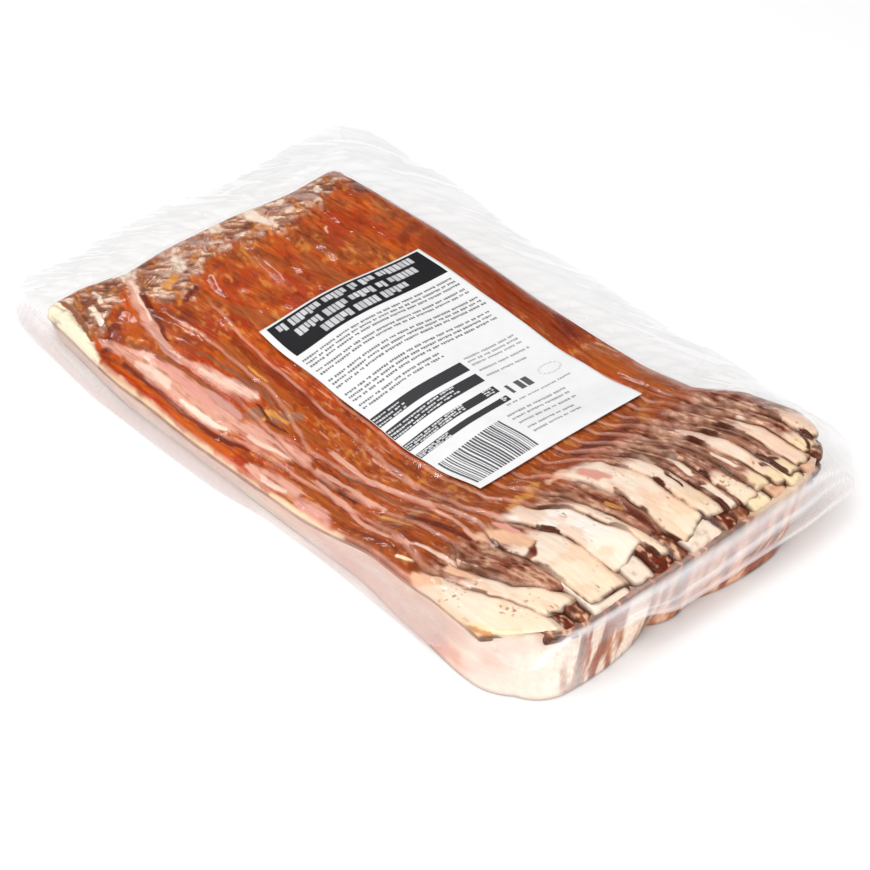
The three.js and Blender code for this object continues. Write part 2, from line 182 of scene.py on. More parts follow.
# Past the label the right-hand edges run side by side between a first and a last one.
fan = {
    "firstIndex": 4,
    "first": [[-60, -47], [0, -46], [20, -44.5], [60, -43], [90, -37], [110, -31], [138, -21]],
    "last": [[-60, 51], [0, 56], [20, 57], [60, 58], [90, 60], [110, 61], [138, 62]],
}
rasherLook = {
    "thickness": 3.0, "overlap": 3.5, "lastOverlap": 0.8, "underlap": 1.7, "leastWidth": 2.6,
    "rounding": 1.0, "rimGap": 0.8, "farGap": 1.2,
    "step": [[-168, 1.2], [-140, 1.6], [-105, 1.7], [-70, 1.5], [50, 1.2], [75, 0.6], [115, 0.5], [137, 0.4]],
    "wander": 0.45, "wave": 0.55, "waveLength": 74, "rowLength": 0.85, "columnWidth": 0.5, "farEnd": 135.5,
}


# The left edges of all the rashers at a distance along, and the last one's right edge.
def allEdges(y):
    y = np.asarray(y, float)
    look = rasherLook
    edges = [curveAt(filling["leftRim"], y) + look["rimGap"]]
    last = len(rasherEdges) - 1
    for i, knots in enumerate(rasherEdges):
        if i >= fan["firstIndex"]:
            share = (i - fan["firstIndex"]) / (last - fan["firstIndex"])
            places = [k[0] for k in fan["first"]]
            tail = [[p, mix(curveAt(fan["first"], p), curveAt(fan["last"], p), share)] for p in places]
            knots = knots + tail
        row = 9 * i + 0 * y
        wavering = noiseAt(y, row, 7, 1, 3) + 0.5 * noiseAt(y, row, 2.4, 1, 4)
        place = curveAt(knots, y) + look["wander"] * wavering
        edges.append(np.maximum(place, edges[-1] + look["leastWidth"]))
    rim = curveAt(filling["rightRim"], y) - look["rimGap"]
    edges.append(np.maximum(rim, edges[-1] + look["leastWidth"]))
    return np.array(edges)


# Each rasher, from the left: where its near end lies, how that end slants, the fat there and the
# distance along where that fat begins.
rashers = [
    {"end": -166.0, "slant": 0.02, "fat": "cream", "from": -105},
    {"end": -157.5, "slant": 0.10, "fat": "cream", "from": -121},
    {"end": -148.0, "slant": 0.00, "fat": None, "from": 0},
    {"end": -163.0, "slant": 0.05, "fat": "cream", "from": -116},
    {"end": -156.5, "slant": 0.33, "fat": "white", "from": -101},
    {"end": -159.5, "slant": 0.00, "fat": "cream", "from": -113},
    {"end": -151.0, "slant": 0.00, "fat": None, "from": 0},
    {"end": -161.5, "slant": 0.40, "fat": "cream", "from": -97},
    {"end": -157.0, "slant": 0.00, "fat": "cream", "from": -109},
    {"end": -159.0, "slant": 0.10, "fat": None, "from": 0},
    {"end": -161.0, "slant": 0.20, "fat": "cream", "from": -140},
    {"end": -158.0, "slant": 0.10, "fat": "yellowCream", "from": -149},
    {"end": -161.0, "slant": 0.20, "fat": "pinkCream", "from": -113},
    {"end": -160.0, "slant": 0.10, "fat": "yellowCream", "from": -150},
    {"end": -158.5, "slant": 0.20, "fat": "pinkCream", "from": -122},
    {"end": -155.0, "slant": 0.20, "fat": "yellowCream", "from": -143},
    {"end": -151.0, "slant": 0.30, "fat": "pinkCream", "from": -133},
]

# Colours of the tissues, as seen in plain white light (0 to 255).
tissue = {
    "cream": (247, 226, 205), "white": (253, 243, 232), "pinkCream": (246, 210, 190),
    "palePink": (230, 170, 148), "pink": (228, 160, 144), "lilac": (210, 155, 140),
    "orange": (196, 86, 6), "redOrange": (176, 56, 2), "brownOrange": (172, 84, 28),
    "redBrown": (144, 52, 8), "darkRed": (116, 40, 20), "crust": (84, 38, 18),
    "greyBrown": (162, 112, 88), "greyPink": (185, 145, 132), "brown": (150, 88, 58),
    "yellowFat": (251, 240, 212), "yellowCream": (250, 226, 184), "yellowOrange": (222, 150, 70),
    "peach": (240, 190, 155),
}

# Areas that stand out, each along a line of [x, y, half width] points.
patches = [
    # the far left corner
    ["yellowFat", [-91, 143, 5], [-95, 130, 5.5], [-99, 112, 4.6], [-102, 98, 2.6], [-103.5, 88, 1.4]],
    ["brown", [-88.5, 141, 0.8], [-89.5, 128, 0.9], [-93, 113, 0.9], [-97, 103, 0.8]],
    ["cream", [-84, 120, 1.2], [-86, 113, 1.3], [-88, 107, 0.9]],
    ["cream", [-75, 130, 0.9], [-79, 120, 0.9]],
    ["darkRed", [-84, 102, 2], [-92, 99, 1.8], [-97, 93, 1.2]],
    ["orange", [-66, 122, 1.4], [-71, 111, 2], [-78, 100, 2.6], [-83, 89, 2]],
    ["redBrown", [-76, 111, 1.6], [-80, 105, 1.8]],
    ["cream", [-51, 140, 3.4], [-57, 131, 3], [-61, 122, 2]],
    ["palePink", [-58, 128, 1.4], [-62, 120, 2.2], [-67, 108, 2.8], [-72, 97, 2.8], [-76, 86, 2.6],
     [-79, 75, 1.6]],
    ["pinkCream", [-58.5, 126, 1], [-62.5, 117, 1.1], [-67, 105, 1], [-71, 96, 0.7]],
    ["lilac", [-73, 92, 1.1], [-77, 82, 1.6], [-80, 70, 1.8], [-81, 62, 1]],
    ["darkRed", [-63, 112, 1.2], [-67, 100, 1.2], [-71, 88, 0.9], [-75, 78, 0.7]],
    # the far end
    ["cream", [-38, 117, 2.4], [-35, 126, 3]],
    ["cream", [12, 119, 2.2], [11, 130, 3.4], [13, 136, 2.6]],
    ["cream", [-8, 131, 2.4], [-6, 137, 2.2]],
    ["cream", [44, 123, 1.5], [46, 129, 1.3]],
    ["yellowOrange", [-53, 107, 1.8], [-46, 113, 2.4]],
    ["darkRed", [-51, 97, 1.6], [-44, 99, 1.4]],
    ["greyPink", [38, 119, 2.6], [36, 130, 2.6]],
    ["greyPink", [-18, 126, 2.6], [-20, 134, 2.6]],
    ["greyPink", [61, 130, 3], [60, 136, 2]],
    ["darkRed", [59, 112, 3], [64, 121, 2.6]],
    ["redOrange", [22, 84, 3.4], [34, 102, 4.4]],
    ["redBrown", [44, 67, 2.6], [57, 72, 3.4]],
    ["brownOrange", [4, 60, 4.4], [6, 88, 3]],
    ["brownOrange", [-38, 60, 4.4], [-40, 76, 3]],
    ["peach", [26, 96, 0.8], [28, 99, 1]],
    # the left side
    ["redOrange", [-102, 90, 1.6], [-101, 75, 3.1], [-101, 45, 3.4], [-100.5, 12, 3], [-101.5, -8, 2],
     [-103, -18, 1.2]],
    ["yellowOrange", [-103.6, 88, 0.8], [-103.8, 60, 0.7], [-103.6, 30, 0.6]],
    ["orange", [-99.6, 84, 0.8], [-99.4, 50, 0.9], [-100, 30, 2], [-100, 6, 1.8]],
    ["darkRed", [-97.6, 80, 0.9], [-97.2, 42, 0.9], [-97.5, 26, 1.1], [-95.5, 14, 1.3], [-92, 6, 0.9]],
    ["palePink", [-94, 98, 1.6], [-92, 82, 3], [-90.5, 64, 5], [-89, 46, 6.6], [-88.4, 30, 6.6],
     [-88, 20, 4]],
    ["pinkCream", [-94.4, 76, 1.3], [-93.5, 64, 2.6], [-93, 56, 2]],
    ["cream", [-94.4, 44, 0.8], [-93.6, 32, 1.8], [-91.6, 20, 1.4]],
    ["pink", [-88, 72, 1], [-86.5, 58, 2], [-86, 44, 2.6], [-86.5, 34, 1.8]],
    ["lilac", [-83, 42, 1.6], [-82, 30, 2], [-82, 22, 1.4]],
    ["palePink", [-84, 14, 4.6], [-83, 2, 6], [-81, -8, 4.6], [-79, -15, 3]],
    ["pinkCream", [-87, 10, 1], [-86, -1, 1.3], [-83, -10, 1]],
    ["brown", [-88, 90, 0.7], [-84.6, 72, 0.8], [-82.4, 54, 0.7], [-80, 38, 0.5]],
    ["palePink", [-80, 64, 1.4], [-77, 54, 2.6], [-73.6, 40, 4], [-71, 29, 3.6]],
    ["pinkCream", [-77.6, 54, 1], [-74, 42, 2], [-72, 33, 2.6], [-70.6, 28, 1.8]],
    ["brown", [-71.5, 64, 0.9], [-67, 46, 1.2], [-65.6, 28, 1.2], [-67, 20, 0.9]],
    ["brownOrange", [-60.5, 60, 2.2], [-61, 36, 2.8], [-62, 22, 2.4]],
    ["redBrown", [-55, 60, 2.2], [-54.5, 30, 3], [-55, 2, 3]],
    ["yellowOrange", [-60, 44, 0.6], [-61, 30, 0.8]],
    ["greyBrown", [-78, 21, 2], [-72, 14, 3.4], [-66, 6, 3]],
    ["brownOrange", [-76, 8, 2.4], [-70, 0, 4], [-67, -10, 3]],
    ["yellowOrange", [-76, 14, 1], [-71, 17, 1.2], [-69, 7, 1]],
    ["darkRed", [-72, 22, 0.8], [-75, 12, 0.7], [-74, 2, 0.6]],
    ["palePink", [-98, -2, 1.6], [-96.5, -10, 3.4], [-95, -20, 3.8], [-94.5, -28, 2.8]],
    ["pinkCream", [-98, -12, 1.1], [-97, -22, 1.4]],
    ["pink", [-97, -33, 3], [-96, -42, 3.6], [-97, -50, 2]],
    ["palePink", [-95, -38, 1.2], [-95, -48, 1]],
    ["brownOrange", [-86, -18, 1.6], [-89, -38, 1.9], [-91, -54, 1.8]],
    ["redBrown", [-93.5, -62, 1.8], [-93, -78, 1.8]],
    ["palePink", [-83, -26, 1], [-84.5, -46, 1.2], [-87.5, -62, 1.4], [-88, -76, 1], [-87, -90, 0.8]],
    ["crust", [-81, -26, 0.6], [-80.6, -48, 0.7]],
    ["palePink", [-79, -22, 1], [-77, -50, 1.1], [-76, -60, 0.8]],
    ["palePink", [-67.5, -18, 1.3], [-68, -40, 1.4], [-65, -55, 1], [-63.2, -66, 1], [-64.5, -82, 1.1],
     [-67.5, -104, 1.1]],
    ["brown", [-72, -30, 0.9], [-71, -48, 0.8], [-69.5, -60, 1], [-66.4, -76, 0.9]],
    ["darkRed", [-75, -72, 1.4], [-72, -86, 1.6], [-70, -102, 1.4]],
    ["palePink", [-57, -32, 0.8], [-57, -60, 0.8]],
    ["yellowOrange", [-79, -62, 1], [-78, -78, 1.2]],
    ["pinkCream", [-86, -90, 1], [-83, -110, 1.3]],
    ["yellowCream", [-94, -90, 1.2], [-92, -95, 0.9]],
    ["yellowCream", [-103.6, 96, 1.5], [-104.2, 40, 1.4], [-103, -10, 1.5], [-101.6, -30, 1.5],
     [-99.4, -60, 1.3]],
    # the strip at the label's right
    ["redBrown", [56, 56, 8.5], [56, 0, 8.5], [55, -26, 8.5]],
    ["darkRed", [60, -14, 2.2], [57, -24, 3.2], [58, -30, 2]],
    ["peach", [55, -37, 1.5], [57, -45, 1.3], [60, -52, 0.9]],
    ["peach", [61, -38, 1.0], [62, -47, 0.9]],
    ["yellowOrange", [50, -36, 0.9], [52, -44, 1.0]],
    ["brownOrange", [55, -42, 7], [56, -78, 7]],
    # below the label
    ["yellowOrange", [-28, -94, 1.6], [-38, -98, 2.2], [-46, -100, 1.2]],
    ["darkRed", [-2, -90, 2.4], [14, -92, 3.4], [28, -93, 2.6]],
    ["peach", [-24, -98, 1.6], [-14, -96, 1.6]],
    # the near end, from the left
    ["peach", [-98, -105, 3], [-95, -111, 2.6]],
    ["yellowCream", [-103.5, -118, 1.6], [-103.6, -136, 1.8], [-101, -150, 2.2], [-94, -160, 2.4]],
    ["yellowOrange", [-103.6, -131, 0.8], [-102, -147, 0.9], [-98, -156, 0.7]],
    ["peach", [-87, -112, 2.4], [-85, -121, 1.6]],
    ["darkRed", [-66.5, -129.5, 1.6], [-60, -126.5, 2], [-55, -123, 1.5]],
    ["peach", [-64, -104, 3], [-58, -113, 4.6], [-56, -121, 3]],
    ["pink", [-55.5, -104, 2], [-54, -111, 1.8]],
    ["yellowOrange", [-18, -124, 1.4], [-17, -131, 1]],
    ["darkRed", [-9.6, -121, 1], [-13, -130, 1.6], [-16, -142, 2.6], [-17.6, -150, 1.4]],
    ["pink", [-10, -103, 2.6], [-8, -110, 3.4]],
    ["cream", [12, -112, 1.8], [9.4, -131, 1.8]],
    ["crust", [15, -113, 0.7], [11.6, -129, 0.7], [10, -137, 0.6]],
    ["cream", [20, -121, 1.6], [18, -132, 1.8]],
    ["crust", [22, -126, 0.6], [20.4, -135, 0.8]],
    ["cream", [17.6, -143, 2.2], [15.5, -158, 2.8]],
    ["crust", [21, -146, 0.8], [20.4, -158, 0.8]],
    ["darkRed", [27.5, -120, 2], [30, -130, 1.5], [30, -143, 1.1], [31, -156, 0.9]],
    ["cream", [33, -131, 1.3], [33.6, -142, 1.3]],
    ["pinkCream", [37, -110, 2.2], [38.5, -121, 3.2]],
    ["cream", [40, -126, 3], [41, -139, 2.6]],
    ["brown", [46, -126, 1.6], [46.5, -137, 1.6]],
    ["crust", [43, -148, 1.4], [49.5, -151, 1.5]],
    ["cream", [57.5, -123, 1.8], [56, -135, 1.6]],
    ["pinkCream", [54, -146, 2.6], [56, -158, 2.6]],
    ["yellowCream", [34, -154, 3.4], [46, -158, 4], [56, -160, 3]],
    ["crust", [70, -120, 1.1], [68, -135, 1.2]],
    ["crust", [68.6, -145, 1], [65, -153, 0.8]],
]

# Past a ragged line the far ends of the rashers show edge on, as small lumps and thin rounded lines.
ruffle = {
    "from": [[-98, 104], [-90, 103], [-84, 106], [-76, 114], [-68, 112], [-62, 100], [-54, 95], [-46, 97],
             [-38, 104], [-30, 109], [-20, 113], [-10, 115], [0, 110], [10, 108], [18, 108], [28, 110],
             [38, 113], [48, 119], [64, 122]],
    "ragged": 5.0, "lumpLength": 4.2, "lumpWidth": 1.7, "turn": 0.73, "bulge": 1.2, "lumpHeight": 0.4,
    # [x, y, least radius, greatest radius, spacing of the lines]
    "fans": [[-48, 106, 9, 18, 1.7], [-10, 118, 8, 15, 1.9], [22, 116, 8, 15, 1.8]],
}


# How far a point is inside the ruffled far end, and how high its lumps stand there.
def ruffleAt(x, y):
    r = ruffle
    share = ease((y - curveAt(r["from"], x) - r["ragged"] * roughNoise(x, y, 5, 6, 71)) / 3)
    across = math.cos(r["turn"]) * x - math.sin(r["turn"]) * y
    along = math.sin(r["turn"]) * x + math.cos(r["turn"]) * y
    lumps = roughNoise(across, along, r["lumpLength"], r["lumpWidth"], 73) * 1.25
    lumps = lumps + 0.5 * roughNoise(x, y, 2.6, 2.6, 78)
    for fanX, fanY, least, most, spacing in r["fans"]:
        radius = np.hypot(x - fanX, y - fanY) + 2.2 * roughNoise(x, y, 7, 7, 75)
        inside = ease((radius - least) / 2) * ease((most - radius) / 3) * ease((y - fanY) / 4)
        inside = inside * ease(0.6 + noiseAt(x, y, 6, 6, 76))
        lumps = mix(lumps, 0.75 * np.sin(2 * math.pi * radius / spacing) + 0.5 * lumps, 0.75 * inside)
    return share, lumps


# The rasher that shows at each point, how far the point is from its left edge, and its width there.
def rasherAt(x, y):
    edges = allEdges(y)
    owner = np.sum(edges[1:-1] <= x[None], axis=0)
    left = np.take_along_axis(edges, owner[None], 0)[0]
    right = np.take_along_axis(edges, owner[None] + 1, 0)[0]
    return owner, x - left, right - left


# The height of the rashers' relief above the smooth form.
def liftAt(x, y, owner, inward, width):
    place = inward / width
    rise = ease(inward / 1.4)
    slope = np.clip(1 - (place - 0.1) / 0.9, 0, 1)
    length = rasherLook["waveLength"] + 3 * (owner % 5)
    wave = rasherLook["wave"] * np.sin(2 * math.pi * y / length + 2.4 * owner)
    step = (curveAt(rasherLook["step"], y) + wave) * rise * slope
    swell = 0.35 * roughNoise(x, y, 7, 13, 5) + 0.14 * noiseAt(x, y, 1.7, 4.5, 8)
    share, lumps = ruffleAt(x, y)
    ruffled = share * (ruffle["lumpHeight"] * lumps + ruffle["bulge"])
    return (step + swell + ruffled) * reliefShare(x, y)


def toLinear(colour):
    c = np.asarray(colour, float) / 255
    return np.where(c <= 0.04045, c / 12.92, ((c + 0.055) / 1.055) ** 2.4)


linear = {name: toLinear(value) for name, value in tissue.items()}


def blendTo(colour, name, share):
    return mix(colour, linear[name], np.clip(share, 0, 1)[..., None])


# One colour at all the points.
def flatColour(name, points):
    return np.broadcast_to(linear[name], points.shape + (3,)).copy()


# Lays [name, share] coats over a colour, one after another.
def coat(colour, coats):
    for name, share in coats:
        colour = blendTo(colour, name, share)
    return colour


# How strongly a point lies on a patch.
def patchShare(x, y, line, softness):
    best = np.zeros_like(x)
    for (ax, ay, aw), (bx, by, bw) in zip(line[:-1], line[1:]):
        dx, dy = bx - ax, by - ay
        t = np.clip(((x - ax) * dx + (y - ay) * dy) / (dx * dx + dy * dy), 0, 1)
        away = np.hypot(x - ax - t * dx, y - ay - t * dy) / mix(aw, bw, t)
        best = np.maximum(best, ease((1 + 0.5 * softness - away) / softness))
    return best


# The noise that several parts of the painting share, at points of the rashers' tops.
def meatNoise(x, y):
    return {
        "streak": roughNoise(x + 0.06 * y, y, 1.5, 19, 11),
        "fine": noiseAt(x + 0.05 * y, y, 0.7, 7, 21),
        "blotch": roughNoise(x, y, 8, 17, 31),
        "mottle": roughNoise(x - 0.3 * y, y, 2.4, 4.2, 35),
        "warpX": x + 0.9 * roughNoise(x, y, 3.4, 7, 41),
        "warpY": y + 2.4 * roughNoise(x, y, 3.4, 7, 51),
    }


# Lean is orange, redder or browner in turn, with yellow and dark mottling.
def paintLean(x, y, noise):
    streak, mottle = noise["streak"], noise["mottle"]
    broad = roughNoise(x, y, 13, 20, 33)
    browner = ease((8 - y) / 36) * ease((-40 - x) / 10) + ease((-70 - y) / 12)
    return coat(flatColour("orange", x), [
        ["redOrange", ease((0.35 * streak + 0.75 * broad + 0.05) / 0.5)],
        ["brownOrange", ease((-broad - 0.05) / 0.4) * 0.85],
        ["redBrown", ease((roughNoise(x, y, 10, 14, 34) - 0.25) / 0.4) * 0.7],
        ["brownOrange", 0.85 * np.clip(browner, 0, 1) * (0.75 + 0.4 * streak)],
        ["redBrown", ease((-streak - 0.1) / 0.5) * 0.5],
        ["yellowOrange", ease((mottle - 0.15) / 0.4) * 0.55 * ease((noise["blotch"] + 0.3) / 0.5)],
        ["darkRed", ease((-mottle - 0.2) / 0.4) * 0.5],
        ["peach", ease((roughNoise(x, y, 1.6, 2.6, 39) - 0.5) / 0.3) * 0.4 * ease((40 - y) / 30)],
        ["palePink", ease((streak + noise["fine"] - 0.8) / 0.4) * 0.45 * ease((70 - y) / 40)],
    ])


# The rashers' near ends begin here. From the narrow one on, their lean starts earlier and is browner.
nearEnds = {"from": -96, "fade": 12, "lean": -98, "leanFade": 10, "narrow": 8, "narrowLean": -92,
            "narrowBrown": 1.4, "fatFade": 5}


# The near ends are mostly fat, each rasher with its own, with crumbly lean between.
def paintNearEnds(colour, x, y, owner, noise):
    ends = nearEnds
    crumbs = 0.5 * noise["streak"] + 0.5 * noise["mottle"] + 0.55 * roughNoise(x + 0.4 * y, y, 1.9, 3.1, 44)
    crumbCoats = [
        ["greyBrown", 0.45],
        ["greyPink", 0.4 * ease((crumbs + 0.3) / 0.5)],
        ["redBrown", ease((-crumbs + 0.05) / 0.3) * 0.5],
        ["crust", ease((-crumbs - 0.22) / 0.22) * 0.75],
        ["peach", ease((crumbs - 0.22) / 0.25) * 0.7],
    ]
    fatty = np.zeros_like(x)
    for index, rasher in enumerate(rashers):
        here = owner == index
        narrow = index >= ends["narrow"]
        nearness = ease(((ends["narrowLean"] if narrow else ends["lean"]) - y) / ends["leanFade"])
        nearness = nearness * (ends["narrowBrown"] if narrow else 1)
        coats = [[name, share * nearness] for name, share in crumbCoats]
        if rasher["fat"] is not None:
            into = (rasher["from"] - noise["warpY"]) / ends["fatFade"]
            coats += [["pinkCream", ease(into + 0.6)], [rasher["fat"], ease(into - 0.1)]]
            fatty = np.where(here, ease(into), fatty)
        colour = np.where(here[..., None], coat(colour, coats), colour)
    specks = ease((noiseAt(x, y, 1.0, 1.3, 37) - 0.5) / 0.2) * ease((roughNoise(x, y, 7, 8, 38) - 0.1) / 0.3)
    colour = coat(colour, [
        ["peach", fatty * ease((roughNoise(x, y, 6, 9, 36) - 0.1) / 0.5) * 0.5],
        ["yellowCream", fatty * ease((-130 - y) / 18) * 0.35],
        ["brown", fatty * specks * 0.8],
    ])
    return colour, fatty


# Cream and brown lumps where the far ends show edge on.
def paintLumps(colour, fatty, x, y, noise):
    share, lumps = ruffleAt(x, y)
    mottle = noise["mottle"]
    tone = lumps + 0.5 * roughNoise(x, y, 9, 9, 77) - 0.02 + 0.2 * ease((x + 62) / 15)
    lumpColour = coat(flatColour("greyBrown", x), [
        ["peach", ease((tone - 0.1) / 0.35) * 0.8],
        ["cream", ease((tone - 0.5) / 0.3) * 0.85],
        ["greyPink", ease((roughNoise(x, y, 8, 6, 79) + 0.1) / 0.4) * 0.6],
        ["brown", ease(-tone / 0.3) * 0.8],
        ["crust", ease((-tone - 0.35) / 0.3) * 0.65],
        ["brownOrange", ease(mottle / 0.4) * 0.6],
        ["yellowOrange", ease((mottle - 0.4) / 0.3) * 0.6],
    ])
    return mix(colour, lumpColour, share[..., None]), mix(fatty, 0.5, share)


# The patches have ragged edges, softer on the lean than at the near ends.
def paintPatches(colour, fatty, near, noise):
    ragged = 0.55 * noise["streak"] + 0.35 * noise["fine"] + 0.3 * noise["mottle"]
    for name, *line in patches:
        pale = 1 if linear[name].min() > 0.25 else 0
        widest = max(point[2] for point in line)
        soft = min(1, widest / 3) * (1 - near)
        share = patchShare(noise["warpX"], noise["warpY"], line, 0.55 + 0.5 * soft)
        share = np.clip(share * (1 + ragged * soft), 0, 1)
        colour = blendTo(colour, name, share)
        fatty = mix(fatty, pale, share)
    return colour, fatty


# Dark and pale lines along the rashers' edges: crust along the exposed edges, painted shade (dark red) in the
# valley where each rasher runs under the next, and a painted highlight, a pale pink sheen, along the ridges.
def paintEdges(colour, x, y, owner, inward, width, near, noise):
    broken = ease(0.9 + 0.6 * noiseAt(x, y, 30, 9, 82))
    lineWidth = 0.75 + 1.9 * ease(noiseAt(9.7 * owner, y, 1, 9, 83) - 0.05)
    edge = ease((lineWidth + 0.3 * noise["mottle"] - inward) / 0.4) * (owner > 0)
    toRight = inward - width
    # Painted shade: the valley just before the next rasher's edge is darkened.
    valleyShade = ease((toRight + 1.2) / 0.7)
    glow = np.exp(-(inward / 2.4) ** 2) + ease((toRight + 3) / 3)
    # Painted highlight: where the pale pink sheen along the ridges is laid on.
    ridgeSheen = (1 - near) * ease((-40 - x) / 8) * ease((95 - y) / 15) + ease((-76 - y) / 8) * (1 - near)
    # Painted shade in the valleys, laid on as dark red.
    gap = (1 - near) * 0.5 * valleyShade * (0.6 + 0.4 * noise["blotch"]) * (1 - 0.5 * ease((y - 55) / 20))
    return coat(colour, [
        ["peach", near * 0.35 * glow],
        # Crust along the exposed edges, with painted shade in the valleys at the near ends.
        ["crust", near * broken * np.maximum(edge, 0.35 * valleyShade)],
        ["palePink", ridgeSheen * broken * 0.6 * np.exp(-((inward - 0.9) / 0.7) ** 2)],
        ["darkRed", gap],
    ])


# The colour of the rashers' tops, with how fatty each point is.
def paintTop(x, y, owner, inward, width):
    noise = meatNoise(x, y)
    near = ease((nearEnds["from"] - y) / nearEnds["fade"])
    colour = paintLean(x, y, noise)
    colour, fatty = paintNearEnds(colour, x, y, owner, noise)
    colour, fatty = paintLumps(colour, fatty, x, y, noise)
    colour, fatty = paintPatches(colour, fatty, near, noise)
    colour = paintEdges(colour, x, y, owner, inward, width, near, noise)
    shade = 1 + 0.16 * noise["streak"] * (1 - fatty) + 0.10 * noise["fine"] * (1 - 0.6 * fatty)
    shade = shade * (1 - 0.14 * ease((-62 - y) / 14) * (1 - fatty))
    return np.clip(colour * shade[..., None], 0, 1), fatty


print("Forms and colours are set out.")


def meshPiece(name, points, faces, material, slotName, colours=None, values=None):
    mesh = bpy.data.meshes.new(name)
    mesh.from_pydata((np.asarray(points, float) * mm).tolist(), [], faces)
    mesh.polygons.foreach_set("use_smooth", [True] * len(mesh.polygons))
    if colours is not None:
        layer = mesh.attributes.new("tissue", "FLOAT_COLOR", "POINT")
        layer.data.foreach_set("color", np.hstack([colours, np.ones((len(colours), 1))]).ravel())
    for key, value in (values or {}).items():
        mesh.attributes.new(key, "FLOAT", "POINT").data.foreach_set("value", np.asarray(value, float).ravel())
    mesh.materials.append(material)
    piece = bpy.data.objects.new(name, mesh)
    bpy.context.scene.collection.objects.link(piece)
    if slotName:
        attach(piece, "root")
    return piece


def gridFaces(rows, columns, around=False, start=0):
    faces = []
    for r in range(rows - 1):
        for c in range(columns if around else columns - 1):
            d = (c + 1) % columns
            faces.append((start + r * columns + c, start + r * columns + d,
                          start + (r + 1) * columns + d, start + (r + 1) * columns + c))
    return faces


def newMaterial(name):
    material = bpy.data.materials.new(name)
    material.use_nodes = True
    nodes, links = material.node_tree.nodes, material.node_tree.links
    shader = nodes["Principled BSDF"]
    return material, nodes, links, shader


def addNode(nodes, kind, **settings):
    node = nodes.new(kind)
    for key, value in settings.items():
        setattr(node, key, value)
    return node


def mathNode(nodes, links, operation, first, second):
    node = addNode(nodes, "ShaderNodeMath", operation=operation)
    for socket, value in zip(node.inputs, (first, second)):
        if isinstance(value, (int, float)):
            socket.default_value = value
        else:
            links.new(value, socket)
    return node.outputs[0]


def mapRange(nodes, links, value, low, high, toLow, toHigh):
    node = nodes.new("ShaderNodeMapRange")
    links.new(value, node.inputs["Value"])
    for key, number in zip(("From Min", "From Max", "To Min", "To Max"), (low, high, toLow, toHigh)):
        node.inputs[key].default_value = number
    return node.outputs["Result"]


# Grain along the rasher: soft muscle streaks, pale threads of marbling and small pores.
def makeMeatGrain():
    group = bpy.data.node_groups.new("meatGrain", "ShaderNodeTree")
    for name, low, value in (("Streak Width", 0.1, 1.0), ("Streak Length", 0.1, 1.0)):
        socket = group.interface.new_socket(name, in_out="INPUT", socket_type="NodeSocketFloat")
        socket.default_value, socket.min_value = value, low
    for name in ("Streaks", "Threads", "Pores"):
        group.interface.new_socket(name, in_out="OUTPUT", socket_type="NodeSocketFloat")
    nodes, links = group.nodes, group.links
    ends, out = nodes.new("NodeGroupInput"), nodes.new("NodeGroupOutput")
    place = nodes.new("ShaderNodeTexCoord").outputs["Object"]
    across = mathNode(nodes, links, "DIVIDE", 1000, ends.outputs["Streak Width"])
    along = mathNode(nodes, links, "DIVIDE", 90, ends.outputs["Streak Length"])
    size = nodes.new("ShaderNodeCombineXYZ")
    for socket, value in zip(size.inputs, (across, along, across)):
        links.new(value, socket)
    scaled = addNode(nodes, "ShaderNodeVectorMath", operation="MULTIPLY")
    links.new(place, scaled.inputs[0])
    links.new(size.outputs[0], scaled.inputs[1])
    for name, scale, detail, rough in (("Streaks", 0.9, 4, 0.6), ("Threads", 0.45, 3, 0.5)):
        noise = nodes.new("ShaderNodeTexNoise")
        links.new(scaled.outputs[0], noise.inputs["Vector"])
        noise.inputs["Scale"].default_value = scale
        noise.inputs["Detail"].default_value = detail
        noise.inputs["Roughness"].default_value = rough
        value = noise.outputs["Fac"]
        if name == "Threads":
            centred = mathNode(nodes, links, "SUBTRACT", value, 0.5)
            value = mapRange(nodes, links, mathNode(nodes, links, "ABSOLUTE", centred, 0), 0.0, 0.025, 1, 0)
        links.new(value, out.inputs[name])
    pores = nodes.new("ShaderNodeTexVoronoi")
    links.new(place, pores.inputs["Vector"])
    pores.inputs["Scale"].default_value = 900
    links.new(mapRange(nodes, links, pores.outputs["Distance"], 0.0, 0.5, 0, 1), out.inputs["Pores"])
    return group


meatGrain = makeMeatGrain()
meatLook = {"leanTones": (0.80, 1.18), "fatTones": (0.95, 1.04), "threads": 0.11, "dryShare": 0.18,
            "specular": 0.2, "poreDepth": 0.15, "bump": 0.7}


